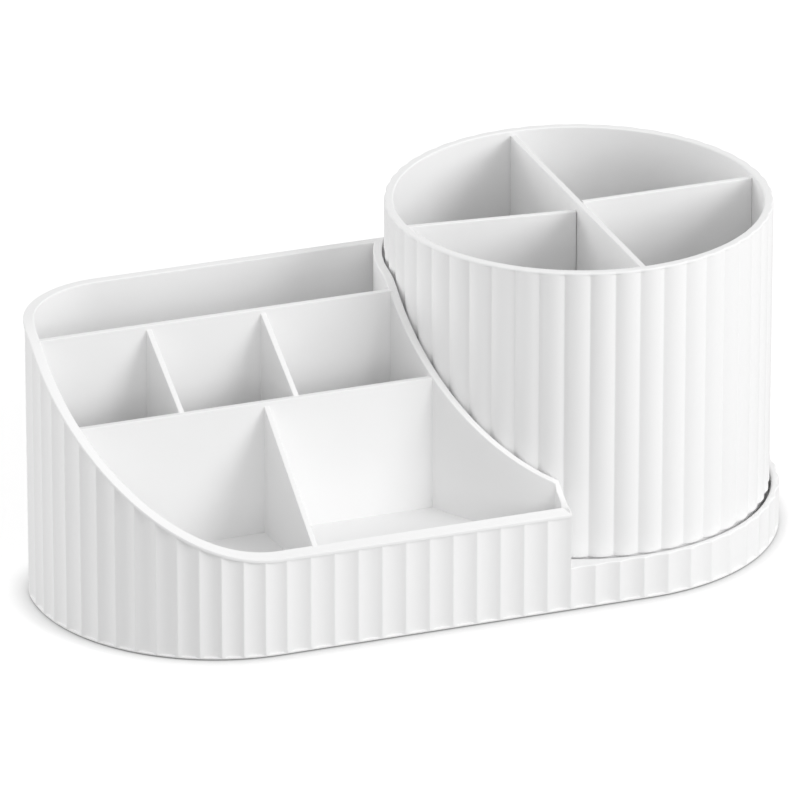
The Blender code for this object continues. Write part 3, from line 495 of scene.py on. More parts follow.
def plate(name, outline, shift):
    """A flat outline of any shape, extruded by a shift."""
    obj = add(name, bpy.ops.mesh.primitive_circle_add, vertices=len(outline), radius=1, fill_type='NGON')
    place_points(obj, outline)
    bpy.ops.object.mode_set(mode='EDIT')
    bpy.ops.mesh.select_all(action='SELECT')
    bpy.ops.mesh.extrude_region_move(TRANSFORM_OT_translate={"value": shift})
    bpy.ops.object.mode_set(mode='OBJECT')
    return sew(obj)


def turned(name, profile, steps=ROUND_SIDES):
    """A profile of (radius, height), listed round its outline, spun about the axis."""
    obj = add(name, bpy.ops.mesh.primitive_circle_add, vertices=len(profile), radius=1, fill_type='NOTHING')
    place_points(obj, [(radius, 0, height) for radius, height in profile])
    pick_edges(obj, lambda one, other: max(one.x, other.x) < SEW)
    bpy.ops.object.mode_set(mode='EDIT')
    bpy.ops.mesh.delete(type='EDGE')
    bpy.ops.mesh.select_all(action='SELECT')
    bpy.ops.mesh.spin(steps=steps, angle=2 * math.pi, center=(0, 0, 0), axis=(0, 0, 1))
    bpy.ops.object.mode_set(mode='OBJECT')
    return sew(obj)


def chamfered(inner, outer, back, face):
    """The slice of a flat ring with broken edges: along its bore, then along its outside."""
    edge = math.copysign(EASE, face - back)
    return [(inner + EASE, back), (inner, back + edge), (inner, face - edge), (inner + EASE, face),
            (outer - EASE, face), (outer, face - edge), (outer, back + edge), (outer - EASE, back)]


def rod(name, radius, low, high, place):
    """A plain post or drill between two heights."""
    return add(name, bpy.ops.mesh.primitive_cylinder_add, vertices=SMALL_SIDES, radius=radius,
               depth=high - low, location=(*place, (low + high) / 2))


def pick_edges(obj, wanted):
    """Select the edges whose two ends pass a test."""
    bpy.context.tool_settings.mesh_select_mode = (False, True, False)
    spots = [vertex.co for vertex in obj.data.vertices]
    for group in (obj.data.vertices, obj.data.edges, obj.data.polygons):
        group.foreach_set("select", [False] * len(group))
    for edge in obj.data.edges:
        one, other = edge.vertices
        edge.select = bool(wanted(spots[one], spots[other]))


def ease_edges(obj, wanted, width, segments=4):
    """Round the edges whose two ends pass a test."""
    activate(obj)
    pick_edges(obj, wanted)
    bpy.ops.object.mode_set(mode='EDIT')
    bpy.ops.mesh.bevel(offset=width, segments=segments, affect='EDGES')
    bpy.ops.object.mode_set(mode='OBJECT')
    return obj


def slab(name, corners, low, tops, width):
    """A block whose plan is any four corners, each with a top of its own, rounded on top."""
    obj = add(name, bpy.ops.mesh.primitive_cube_add, size=1)
    order = {(False, False): 0, (True, False): 1, (True, True): 2, (False, True): 3}
    for vertex in obj.data.vertices:
        corner = order[(vertex.co.x > 0, vertex.co.y > 0)]
        height = tops[corner] if vertex.co.z > 0 else low
        vertex.co = (*corners[corner], height)
    obj.data.update()
    return ease_edges(obj, lambda one, other: min(one.z, other.z) > low + width, width)


def use_modifier(obj, kind, **settings):
    """Add a modifier, set it and apply it."""
    activate(obj)
    bpy.ops.object.modifier_add(type=kind)
    modifier = obj.modifiers[-1]
    for key, value in settings.items():
        setattr(modifier, key, value)
    bpy.ops.object.modifier_apply(modifier=modifier.name)
    return obj


def combine(obj, tool, operation):
    """Join a tool to a piece or cut it away, and put the tool aside."""
    use_modifier(obj, 'BOOLEAN', operation=operation, object=tool, solver='EXACT')
    bpy.data.objects.remove(tool)
    return obj


def gather(objects):
    """Make separate solids one object."""
    bpy.ops.object.select_all(action='DESELECT')
    for obj in objects:
        obj.select_set(True)
    bpy.context.view_layer.objects.active = objects[0]
    bpy.ops.object.join()
    bpy.ops.object.transform_apply(location=True, rotation=True, scale=True)
    return bpy.context.object


def copy_to(obj, name, place, turn=0.0):
    """A copy with a mesh of its own, moved and turned about the upright axis."""
    twin = obj.copy()
    twin.data = obj.data.copy()
    twin.name = twin.data.name = name
    bpy.context.collection.objects.link(twin)
    twin.data.transform(Matrix.Translation((*place, 0)) @ Matrix.Rotation(turn, 4, 'Z'))
    return twin


def repeat(obj, names, places, turns=None):
    """One copy for each name and place; the model itself is put aside."""
    turns = turns or [0.0] * len(names)
    twins = [copy_to(obj, name, place, turn) for name, place, turn in zip(names, places, turns)]
    bpy.data.objects.remove(obj)
    return twins


def hand_over(obj, body, slot, material, *nodes):
    """Smooth a finished piece, give it its material, move it to the cup's axis, hang it from its body and
    hide the parts that it replaces.
    """
    activate(obj)
    bpy.ops.object.shade_smooth_by_angle(angle=CREASE)
    use_modifier(obj, 'WEIGHTED_NORMAL', keep_sharp=True, weight=60)
    bpy.ops.transform.translate(value=AXIS)
    bpy.ops.object.transform_apply(location=True, rotation=True, scale=True)
    obj.data.name = obj.name
    obj.data.materials.clear()
    obj.data.materials.append(material)
    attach(obj, body)
    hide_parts(*nodes)
    return obj


# Shader maths

class Socket:
    """A value in a material, which Python's operators turn into Math nodes."""

    def __init__(self, graph, link):
        self.graph = graph
        self.link = link

    def math(self, operation, one, other):
        return self.graph.node('ShaderNodeMath', {"operation": operation}, {0: one, 1: other})

    def __add__(self, other):
        return self.math('ADD', self, other)

    def __sub__(self, other):
        return self.math('SUBTRACT', self, other)

    def __rsub__(self, other):
        return self.math('SUBTRACT', other, self)

    def __mul__(self, other):
        return self.math('MULTIPLY', self, other)

    def __or__(self, other):
        return self.math('MAXIMUM', self, other)

    __radd__ = __add__
    __rmul__ = __mul__
    __ror__ = __or__


class Graph:
    """The nodes of one material or world."""

    def __init__(self, owner):
        owner.use_nodes = True
        self.tree = owner.node_tree
        self.tree.nodes.clear()

    def node(self, kind, settings=None, sockets=None, output=0):
        """Add a node, set it, then fill or link its sockets; gives one of its outputs."""
        node = self.tree.nodes.new(kind)
        for key, value in (settings or {}).items():
            setattr(node, key, value)
        for key, value in (sockets or {}).items():
            if isinstance(value, Socket):
                self.tree.links.new(value.link, node.inputs[key])
            else:
                node.inputs[key].default_value = value
        return Socket(self, node.outputs[output]) if node.outputs else None

    def noise(self, size, detail=2.0, rough=0.5, stretch=(1, 1, 1)):
        """Noise whose features are about this size, in object space."""
        place = self.node('ShaderNodeTexCoord', output="Object")
        place = self.node('ShaderNodeMapping', None, {"Vector": place, "Scale": stretch})
        return self.node('ShaderNodeTexNoise', None, {"Vector": place, "Scale": 1 / size, "Detail": detail,
                                                      "Roughness": rough}, "Fac")

    def mix(self, mask, dark, pale):
        """From one colour to another by a mask."""
        return self.node('ShaderNodeMix', {"data_type": 'RGBA'}, {0: mask, 6: dark, 7: pale}, 2)

    def tint(self, colour_value, mask, spread):
        """A colour that a mask makes a little paler or darker."""
        pale = [min(1, channel * (1 + spread)) for channel in colour_value]
        dark = [channel * (1 - spread) for channel in colour_value]
        return self.mix(mask, (*dark, 1), (*pale, 1))

    def bump(self, height, strength, distance, normal=None):
        sockets = {"Height": height, "Strength": strength, "Distance": distance}
        if normal:
            sockets["Normal"] = normal
        return self.node('ShaderNodeBump', None, sockets)

    def surface(self, sockets):
        shader = self.node('ShaderNodeBsdfPrincipled', None, sockets)
        self.node('ShaderNodeOutputMaterial', None, {"Surface": shader})


def new_material(name, plain):
    material = bpy.data.materials.new(name)
    material.diffuse_color = (*plain, 1)
    return material, Graph(material)


def white_plastic(finish):
    """Satin white moulding: a fine spark-eroded grain over faint flow and sink marks."""
    material, graph = new_material("white_plastic", finish.white)
    cloud = graph.noise(35 * MM, 3)
    grain = graph.noise(0.32 * MM, 2, 0.6)
    flow = graph.noise(18 * MM, 2, 0.5, (1, 1, 0.35))
    sunk = graph.bump(flow, 0.35, 0.05 * MM)
    graph.surface({
        "Base Color": graph.tint(finish.white, cloud, 0.008),
        "Roughness": finish.white_rough + (cloud - 0.5) * 0.10 + (grain - 0.5) * 0.06,
        "Normal": graph.bump(grain, 0.30, 0.012 * MM, sunk),
        "IOR": 1.46,
        "Specular IOR Level": 0.42,
    })
    return material


def bearing_plastic(finish):
    """Unpainted slippery plastic, a little waxy, with fine turning marks from wear."""
    material, graph = new_material("bearing_plastic", finish.bearing)
    cloud = graph.noise(9 * MM, 3)
    rub = graph.noise(0.5 * MM, 3, 0.6, (1, 1, 6))
    graph.surface({
        "Base Color": graph.tint(finish.bearing, cloud, 0.03),
        "Roughness": 0.40 + (cloud - 0.5) * 0.14 + (rub - 0.5) * 0.08,
        "Normal": graph.bump(rub, 0.3, 0.02 * MM),
        "IOR": 1.48,
    })
    return material


def bright_steel(finish):
    """Bright zinc-plated steel with fine drawn lines and dull patches."""
    material, graph = new_material("bright_steel", finish.steel)
    patch = graph.noise(1.6 * MM, 3)
    drawn = graph.noise(0.25 * MM, 2, 0.6, (1, 1, 9))
    graph.surface({
        "Base Color": graph.tint(finish.steel, patch, 0.07),
        "Metallic": 1.0,
        "Roughness": 0.20 + patch * 0.12 + drawn * 0.06,
        "Normal": graph.bump(drawn, 0.25, 0.01 * MM),
    })
    return material


def soft_rubber(finish):
    """Matt grey rubber with a pebbled skin and a little dust."""
    material, graph = new_material("soft_rubber", finish.rubber)
    dust = graph.noise(2.5 * MM, 4, 0.6)
    pebble = graph.noise(0.35 * MM, 2)
    graph.surface({
        "Base Color": graph.tint(finish.rubber, dust, 0.06),
        "Roughness": 0.74 + dust * 0.14,
        "Normal": graph.bump(pebble, 0.5, 0.05 * MM),
    })
    return material


MAKERS = {"white_plastic": white_plastic, "bearing_plastic": bearing_plastic,
          "bright_steel": bright_steel, "soft_rubber": soft_rubber}


def material_of(name, finish):
    """A finish by its name, made if there is none of that name yet.

    The frame brings plain materials named white_plastic and bearing_plastic, so the pieces that
    ask for those two wear the frame's, and the two makers of the same names are not called.
    """
    return bpy.data.materials.get(name) or MAKERS[name](finish)


# The tray

def wall_section(flute, proud, thick, rim, lean, foot, tray):
    """A slice through the wall as (distance in, height), up its outside and down its inside.

    The top falls towards the outside by the lean.
    """
    edge = rim - lean
    drop = edge - tray.lip_face
    soft = tray.foot_round
    band = foot + soft + tray.foot_band
    outer, inner = tray.lip_round, tray.lip_inner_round
    return [
        *rounding((tray.foot_inset + soft, foot + soft), soft, 270, 180, 2),
        (tray.foot_inset, band),
        (flute, band + EASE),
        (flute, drop),
        *rounding((EASE - proud, drop + EASE), EASE, 270, 180, 2),
        *rounding((outer - proud, edge - outer), outer, 180, 90, 4),
        *rounding((thick - inner, rim - inner), inner, 90, 0, 4),
        (thick, foot),
    ]


OUTER_FACE = 2                  # the place in a slice that lies on the arris line


def plain_slice(rim, lean, station, side, foot, tray):
    """A slice of the wall at a station where it runs on smoothly, under a rim of this height."""
    point, normal, flute = station
    section = wall_section(flute, *side, rim, lean, foot, tray)
    return [(*(point + normal * inward), height) for inward, height in section]


def mitre_slice(rim, lean, point, first, second, foot, tray):
    """A mitred slice at a sharp corner between two walls, each (normal, side)."""
    across = Matrix((first[0], second[0])).inverted()
    ones = wall_section(0, *first[1], rim, lean, foot, tray)
    others = wall_section(0, *second[1], rim, lean, foot, tray)
    return [(*(point + across @ Vector((one, other))), height)
            for (one, height), (other, _) in zip(ones, others)]


def tuck(slices, corner):
    """Gather the points of the slices beside a mitre that would fold over it into the mitre."""
    mitre = slices[corner]
    for step in (1, -1):
        for count in range(1, TUCKED_SLICES + 1):
            spots = slices[(corner + step * count) % len(slices)]
            away = Vector(spots[OUTER_FACE][:2]) - Vector(mitre[OUTER_FACE][:2])
            for index, spot in enumerate(spots):
                beyond = (Vector(spot[:2]) - Vector(mitre[index][:2])).dot(away)
                if beyond <= TUCK_TOUCH * away.length:
                    spots[index] = mitre[index]


def tray_wall(tray, at):
    """The tray's wall: one section carried right round it, the flutes and the lip included."""
    outer = tray_outside(tray, at)
    front_end, back_end = outer[0][0], outer[-1][0]
    arc_front = Vector((-at.end_back, -circle_y(at.arc, at.end_back)))
    end_run = (arc_front - front_end).normalized()
    end_normal = Vector((-end_run.y, end_run.x))
    outside = (tray.lip_proud, tray.wall)
    inside = (tray.lip_proud_arc, tray.inner_wall)
    end_side = (tray.lip_proud_arc, tray.end_wall)

    slices = [mitre_slice(tray.rim_front, tray.rim_lean, front_end, (end_normal, end_side),
                          (outer[0][1], outside), at.plate_low, tray)]
    for station in outer[1:-1]:
        rim = side_rim_height(station[0].y, tray, at)
        lean = tray.rim_lean * max(0, station[1].y)**2
        slices.append(plain_slice(rim, lean, station, outside, at.plate_low, tray))
    start = math.atan2(back_end.y, back_end.x)
    end = math.atan2(arc_front.y, arc_front.x) + 2 * math.pi
    corners = [0, len(slices)]
    slices.append(mitre_slice(tray.rim_back, 0, back_end, (outer[-1][1], outside),
                              (back_end.normalized(), inside), at.plate_low, tray))
    for turn in sweep(start, end)[1:-1]:
        away = Vector((math.cos(turn), math.sin(turn)))
        rim = rim_height(away.y * at.arc, tray, at)
        slices.append(plain_slice(rim, 0, (away * at.arc, away, 0), inside, at.dish_low, tray))
    corners.append(len(slices))
    slices.append(mitre_slice(rim_height(arc_front.y, tray, at), 0, arc_front,
                              (arc_front.normalized(), inside), (end_normal, end_side), at.dish_low, tray))
    for place in END_WALL_shares:
        point = arc_front.lerp(front_end, place)
        rim = rim_height(point.y, tray, at)
        slices.append(plain_slice(rim, 0, (point, end_normal, 0), end_side, at.dish_low, tray))
    for corner in corners:
        tuck(slices, corner)
    return skin("tray_moulding", slices)


def dish(ring, tray, at):
    """The low fluted ring, its well, the dish and the collar, as one skin round the axis."""
    outline = ring_outside(tray, at)
    hidden = at.ring - tray.flute_depth
    start = math.atan2(outline[-1][0].y, outline[-1][0].x)
    end = math.atan2(-circle_y(hidden, at.ring_end), -at.ring_end) + 2 * math.pi
    for turn in sweep(start, end):
        away = Vector((math.cos(turn), math.sin(turn)))
        outline.append((away * hidden, -away, 0))
    outline.append((Vector((-at.ring_end, at.front + tray.wall / 2)), Vector((0, 1)), 0))
    spots = [point + normal * flute for point, normal, flute in outline]
    turns = [math.atan2(spot.y, spot.x) for spot in spots]

    soft, lead, foot = ring.edge_round, ring.well_round, tray.foot_round
    well, fillet, root, lip = at.well, 0.8 * MM, 0.4 * MM, 0.3 * MM
    collar = at.post_hole + ring.collar
    collar_top = at.dish_high + ring.collar_height
    band = at.plate_low + foot + tray.foot_band
    plain = [*rounding((tray.foot_inset + foot, at.plate_low + foot), foot, 270, 180, 2),
             (tray.foot_inset, band)]
    carved = [(0, band + EASE), *rounding((soft, at.ring_top - soft), soft, 180, 90, 4)]
    rows = [[(*(point + normal * (inward + cut * flute)), height) for point, normal, flute in outline]
            for cut, outside in ((0, plain), (1, carved)) for inward, height in outside]
    inside = [
        *rounding((well + lead, at.ring_top - lead), lead, 90, 180, 6),
        *rounding((well - fillet, at.dish_high + fillet), fillet, 0, -90, 4),
        *rounding((collar + root, at.dish_high + root), root, 270, 180, 2),
        *rounding((collar - lip, collar_top - lip), lip, 0, 90, 2),
        *rounding((at.post_hole + lip, collar_top - lip), lip, 90, 180, 2),
        (at.post_hole, at.dish_low), (at.pocket, at.dish_low), (at.pocket, at.plate_low),
    ]
    rows += [on_circle(radius, turns, height) for radius, height in inside]
    return skin("dish", rows)


def lobe(inset, tray, at):
    """The tray's plan inside its walls: its front line, left corners and back line."""
    path = Path((-at.end_front, at.front + inset), math.pi)
    path.straight(tray.reach - at.end_front - tray.front_corner)
    path.bend(tray.front_corner - inset, -math.pi / 2)
    path.straight(tray.depth - tray.front_corner - tray.back_corner)
    path.bend(tray.back_corner - inset, -math.pi / 2)
    spots = []
    for piece in path.pieces[1:]:
        steps = 36 if piece[3] else 1
        spots += [path.at(piece[0] * step / steps, piece)[0] for step in range(steps)]
    spots.append(path.point)
    return spots


def round_cup(spots, radius, right, low_y, high_y):
    """Close a lobe outline along a circle about the axis, on the tray's side of it."""
    start = math.atan2(high_y, -circle_y(radius, high_y))
    end = 2 * math.pi + math.atan2(-circle_y(radius, right), right)
    return [(right, low_y), *[tuple(spot) for spot in spots], *on_circle(radius, sweep(start, end))]


def tray_floor(tray, at):
    """The raised floor, let into the walls all round."""
    inset = tray.wall - BITE
    outline = round_cup(lobe(inset, tray, at), at.arc + tray.inner_wall - BITE, -at.ring_end,
                        at.front + inset, at.back - inset)
    return plate("tray_floor", [(x, y, tray.floor_top - tray.floor) for x, y in outline], (0, 0, tray.floor))


def tray_dividers(tray, at):
    """Two long dividers and three that cross between them."""
    low = tray.floor_top - tray.floor / 2
    rows = [at.front + tray.depth * place for place in (tray.back_divider, tray.middle_divider)]
    front_y = at.front + tray.wall - BITE
    parts = []
    for y in rows:
        radius, middle = tray.front_corner, at.front + tray.front_corner
        reach = radius - tray.wall + BITE
        start = at.left + radius - math.sqrt(reach**2 - min(0, y - middle)**2)
        end = -circle_y(at.arc + tray.inner_wall - BITE, y)
        half = tray.divider / 2
        corners = [(start, y - half), (end, y - half), (end, y + half), (start, y + half)]
        left_top, right_top = [min(rim, rim_height(y, tray, at)) - tray.divider_drop
                               for rim in (side_rim_height(y, tray, at), tray.rim_back)]
        parts.append(slab("long_divider", corners, low, [left_top, right_top, right_top, left_top],
                          tray.divider_round))
    back_y, middle_y = rows
    for place, far, near, lean in ((tray.cross_1, back_y, middle_y, tray.back_lean),
                                   (tray.cross_2, back_y, middle_y, tray.back_lean),
                                   (tray.cross_3, middle_y, front_y, tray.front_lean)):
        x, half = -tray.reach * place, tray.cross / 2
        shift = (far - near) * math.tan(lean)
        corners = [(x + shift - half, near), (x + shift + half, near), (x + half, far), (x - half, far)]
        tops = [rim_height(y, tray, at) - 2 * tray.divider_drop for y in (near, near, far, far)]
        parts.append(slab("cross_divider", corners, low, tops, tray.divider_round))
    return parts


TRAY_POSTS = ((0.9306, 0.6368), (0.6838, 0.1194), (0.4936, 0.8756))
TRAY_FEET = ((0.8895, 0.4577), (0.5758, 0.1443), (0.6581, 0.8557))
DISH_POST_TURNS = [math.radians(turn) for turn in (60, 180, 300)]
DISH_FOOT_TURNS = [math.radians(turn) for turn in (-80, 0, 80)]
RACE_SCREW_TURN = math.radians(4)


def post_places(tray, at):
    return at.in_tray(TRAY_POSTS, tray) + on_circle(at.boss_circle, DISH_POST_TURNS)


def foot_places(tray, at):
    return at.in_tray(TRAY_FEET, tray) + on_circle(at.foot_circle, DISH_FOOT_TURNS)


def screw_posts(tray, base, at):
    """Posts for the screws of the base plate and the lower race, and the holes in them."""
    posts, holes = [], []
    foot = at.plate_high + base.fit
    thick, thin, cover, hang, sunk, pilot = [size * MM for size in (4.0, 3.2, 3.0, 2.2, 1.1, 8.6)]
    for index, place in enumerate(post_places(tray, at)):
        top = tray.floor_top - tray.floor / 2 if index < len(TRAY_POSTS) else at.dish_high + cover
        posts.append(rod("post", thick, foot, top, place))
        holes.append(rod("hole", BASE_HOLE, foot - OVERRUN, at.plate_low + pilot, place))
    for place in on_circle(at.screw_circle, even_turns(3, RACE_SCREW_TURN)):
        posts.append(rod("post", thin, at.dish_low - hang, at.dish_high - sunk, place))
        holes.append(rod("hole", RACE_HOLE, at.dish_low - hang - OVERRUN, at.dish_high + OVERRUN, place))
    return gather(posts), gather(holes)


class ORGANIZER_OT_tray(bpy.types.Operator):
    """Model the tray, its dividers and the ring as one moulding"""
    bl_idname = "organizer.tray"
    bl_label = "Tray"

    def execute(self, context):
        kit = context.scene.organizer
        tray, at = kit.tray, Layout(kit)
        body = tray_wall(tray, at)
        for part in [dish(kit.ring, tray, at), tray_floor(tray, at), *tray_dividers(tray, at)]:
            combine(body, part, 'UNION')
        posts, holes = screw_posts(tray, kit.base, at)
        combine(body, posts, 'UNION')
        combine(body, holes, 'DIFFERENCE')
        spots = lobe(tray.wall + 0.15 * MM, tray, at)
        right = 0.35 * MM - at.lobe_end
        outline = [(right, spots[0].y), *[tuple(spot) for spot in spots], (right, spots[-1].y)]
        low = at.plate_low - OVERRUN
        recess = plate("recess", [(x, y, low) for x, y in outline],
                       (0, 0, at.plate_high + kit.base.fit - low))
        combine(body, recess, 'DIFFERENCE')
        hand_over(body, "stand", "white_plastic", material_of("white_plastic", kit.finish), "tray_body")
        return {'FINISHED'}


# The base: plate, feet and screws

def cross_recess(width, depth, face, up):
    """The cutter for a cross recess, tapered to its end."""
    sign = 1 if up else -1
    blades = []
    for turn in (0, math.pi / 2):
        blade = add("blade", bpy.ops.mesh.primitive_cube_add, size=1)
        for vertex in blade.data.vertices:
            deep = vertex.co.z > 0
            along = math.copysign(width * (0.45 if deep else 1.0), vertex.co.x)
            across = math.copysign(width * (0.20 if deep else 0.27), vertex.co.y)
            height = face + sign * (depth if deep else -OVERRUN)
            vertex.co = (along, across, height)
        blade.data.transform(Matrix.Rotation(turn, 4, 'Z'))
        blades.append(sew(blade))
    return combine(blades[0], blades[1], 'UNION')


def thread(radius, depth, pitch, low, high):
    """Ridges of a screw's thread along its shank, as (radius, height) from low to high."""
    spots = []
    for turn in range(int((high - low) / pitch)):
        height = low + pitch * turn
        spots += [(radius, height), (radius, height + 0.42 * pitch), (radius + depth, height + 0.64 * pitch),
                  (radius + depth, height + 0.76 * pitch)]
    return [*spots, (radius, high)]


def countersunk(name, face, up, head_radius, head, shank, run):
    """A countersunk screw with a cross recess, whose head lies in a face."""
    sign = 1 if up else -1
    rim, soft = 0.3 * MM, 0.08 * MM
    profile = [(0, 0), (head_radius - soft, 0), (head_radius, soft), (head_radius, rim), (shank, head)]
    profile += thread(shank - 0.02 * MM, 0.2 * MM, 0.9 * MM, head + 0.5 * MM, run - 1.4 * MM)
    profile += [(shank * 0.75, run - 0.5 * MM), (0, run)]
    obj = turned(name, [(radius, face + sign * height) for radius, height in profile], SMALL_SIDES)
    return combine(obj, cross_recess(head_radius * 0.62, head * 0.8, face, up), 'DIFFERENCE')


def base_outline(inset, tray, at):
    """The plan of the base plate: the tray's lobe run together with a disc under the cup."""
    radius = at.pocket - inset
    spots = lobe(tray.wall + inset, tray, at)
    low_y, high_y = spots[0].y, spots[-1].y
    start = math.atan2(-circle_y(radius, at.lobe_end), -at.lobe_end)
    end = math.atan2(high_y, -circle_y(radius, high_y))
    return [(-at.lobe_end, low_y), *[tuple(spot) for spot in spots], *on_circle(radius, sweep(end, start))]


class ORGANIZER_OT_base_plate(bpy.types.Operator):
    """Model the base plate with seats for the feet and the screws"""
    bl_idname = "organizer.base_plate"
    bl_label = "Base plate"

    def execute(self, context):
        kit = context.scene.organizer
        tray, base, at = kit.tray, kit.base, Layout(kit)
        outline = base_outline(base.plate_gap, tray, at)
        obj = plate("base_cover", [(x, y, at.plate_low) for x, y in outline], (0, 0, base.plate))
        ease_edges(obj, lambda one, other: max(one.z, other.z) < at.plate_low + SEW, 0.4 * MM, 3)
        low, fit = at.plate_low - OVERRUN, base.fit
        soft = 0.3 * MM
        seat = base.foot_radius + fit
        seat_top = base.foot + fit
        cutter = turned("seat", [(0, low), (seat + soft, low), (seat + soft, at.plate_low),
                                 *rounding((seat + soft, at.plate_low + soft), soft, 270, 180, 3),
                                 (seat, seat_top), (0, seat_top)], FOOT_SIDES)
        cutters = repeat(cutter, ["seat"] * 6, foot_places(tray, at))
        head, shank = 2.8 * MM, BASE_HOLE
        cutter = turned("sink", [(0, low), (head, low), (head, at.plate_low + 0.6 * MM),
                                 (shank, at.plate_low + 1.6 * MM), (shank, at.plate_high + OVERRUN),
                                 (0, at.plate_high + OVERRUN)], SMALL_SIDES)
        cutters += repeat(cutter, ["sink"] * 6, post_places(tray, at))
        combine(obj, gather(cutters), 'DIFFERENCE')
        hand_over(obj, "stand", "white_plastic", material_of("white_plastic", kit.finish), "base_plate")
        return {'FINISHED'}


class ORGANIZER_OT_feet(bpy.types.Operator):
    """Model one soft foot and set six of them in the base plate"""
    bl_idname = "organizer.feet"
    bl_label = "Feet"

    def execute(self, context):
        kit = context.scene.organizer
        tray, base, at = kit.tray, kit.base, Layout(kit)
        radius, top = base.foot_radius, base.foot
        groove = [(0.42, 0.12), (0.45, 0.2), (0.55, 0.2), (0.58, 0.12)]
        profile = [(0, 0.12 * MM), (radius * 0.2, 0.12 * MM), (radius * 0.24, 0)]
        profile.append((radius * 0.40, 0))
        profile += [(radius * place, depth * MM) for place, depth in groove]
        profile += [(radius * 0.60, 0), *rounding((radius - 0.45 * MM, 0.45 * MM), 0.45 * MM, 270, 360, 4)]
        profile += [*rounding((radius - 0.15 * MM, top - 0.15 * MM), 0.15 * MM, 0, 90, 2), (0, top)]
        foot = turned("pad", profile, FOOT_SIDES)
        rubber = material_of("soft_rubber", kit.finish)
        names = [f"pad_{index}" for index in range(1, 7)]
        for index, twin in enumerate(repeat(foot, names, foot_places(tray, at)), 1):
            hand_over(twin, "stand", "soft_foot", rubber, f"foot_{index}")
        return {'FINISHED'}


class ORGANIZER_OT_base_screws(bpy.types.Operator):
    """Model one countersunk screw and set six of them in the base plate"""
    bl_idname = "organizer.base_screws"
    bl_label = "Base screws"

    def execute(self, context):
        kit = context.scene.organizer
        tray, at = kit.tray, Layout(kit)
        screw = countersunk("cover_screw", at.plate_low + kit.base.fit, True, 2.5 * MM, 1.3 * MM,
                            1.25 * MM, 8.0 * MM)
        steel = material_of("bright_steel", kit.finish)
        names = [f"cover_screw_{index}" for index in range(1, 7)]
        turns = [math.radians(turn) for turn in (12, 57, 31, 74, 5, 43)]
        for index, twin in enumerate(repeat(screw, names, post_places(tray, at), turns), 1):
            hand_over(twin, "stand", "steel", steel, f"base_screw_{index}")
        return {'FINISHED'}


# The bearing under the cup

def race_ring(name, back, face, base, at):
    """A bearing ring with its ball groove."""
    sign = 1 if face > back else -1
    radius = base.ball + base.fit
    reach = math.degrees(math.acos(base.race_gap / 2 / radius))
    groove = []
    for step in range(13):
        turn = math.radians(reach * (step / 6 - 1))
        groove.append((at.ball_circle + radius * math.sin(turn),
                       at.ball_height - sign * radius * math.cos(turn)))
    section = chamfered(at.race_inner, at.race_outer, back, face)
    return turned(name, [*section[:4], *groove, *section[4:]])


class ORGANIZER_OT_bearing(bpy.types.Operator):
    """Model the two races, their screws, the ball cage and the balls"""
    bl_idname = "organizer.bearing"
    bl_label = "Bearing"

    def execute(self, context):
        kit = context.scene.organizer
        base, at = kit.base, Layout(kit)
        steel = material_of("bright_steel", kit.finish)
        natural = material_of("bearing_plastic", kit.finish)
        fit = base.fit
        for side, body, back, face, first in (
                ("lower", "stand", at.lower_race, at.lower_face, RACE_SCREW_TURN),
                ("upper", "cup", at.upper_race, at.upper_face, RACE_SCREW_TURN + math.pi / 3)):
            into = -1 if side == "lower" else 1
            turns = even_turns(3, first)
            places = on_circle(at.screw_circle, turns)
            ring = race_ring(f"bearing_{side}", back, face, base, at)
            sink = turned("sink", [(radius, face + into * height) for radius, height in (
                (0, -OVERRUN), (2.5 * MM, -OVERRUN), (2.5 * MM, 0.6 * MM), (RACE_HOLE, 1.5 * MM),
                (RACE_HOLE, base.race + OVERRUN), (0, base.race + OVERRUN))], SMALL_SIDES)
            combine(ring, gather(repeat(sink, ["sink"] * 3, places)), 'DIFFERENCE')
            hand_over(ring, body, "bearing_plastic", natural, f"{side}_race")
            screw = countersunk(f"{side}_screw", face + into * fit, into > 0, 2.2 * MM, 1.2 * MM,
                                1.0 * MM, 4.4 * MM)
            names = [f"race_screw_{side}_{index}" for index in (1, 2, 3)]
            for index, twin in enumerate(repeat(screw, names, places, turns), 1):
                hand_over(twin, body, "steel", steel, f"{side}_race_screw_{index}")

        half = base.cage / 2
        inner, outer = at.ball_circle - base.cage_width / 2, at.ball_circle + base.cage_width / 2
        low, high = at.ball_height - half, at.ball_height + half
        cage = turned("bearing_cage", chamfered(inner, outer, low, high))
        places = on_circle(at.ball_circle, even_turns(base.balls))
        pockets = [rod("pocket", base.ball + fit, low - OVERRUN, high + OVERRUN, place) for place in places]
        combine(cage, gather(pockets), 'DIFFERENCE')
        hand_over(cage, "cage", "bearing_plastic", natural, "ball_cage")
        ball = add("bearing_ball", bpy.ops.mesh.primitive_uv_sphere_add, segments=32, ring_count=20,
                   radius=base.ball, location=(0, 0, at.ball_height))
        bpy.ops.object.transform_apply(location=True, rotation=True, scale=True)
        names = [f"bearing_ball_{index:02d}" for index in range(1, base.balls + 1)]
        for index, twin in enumerate(repeat(ball, names, places), 1):
            hand_over(twin, "cage", "steel", steel, f"ball_{index:02d}")
        return {'FINISHED'}


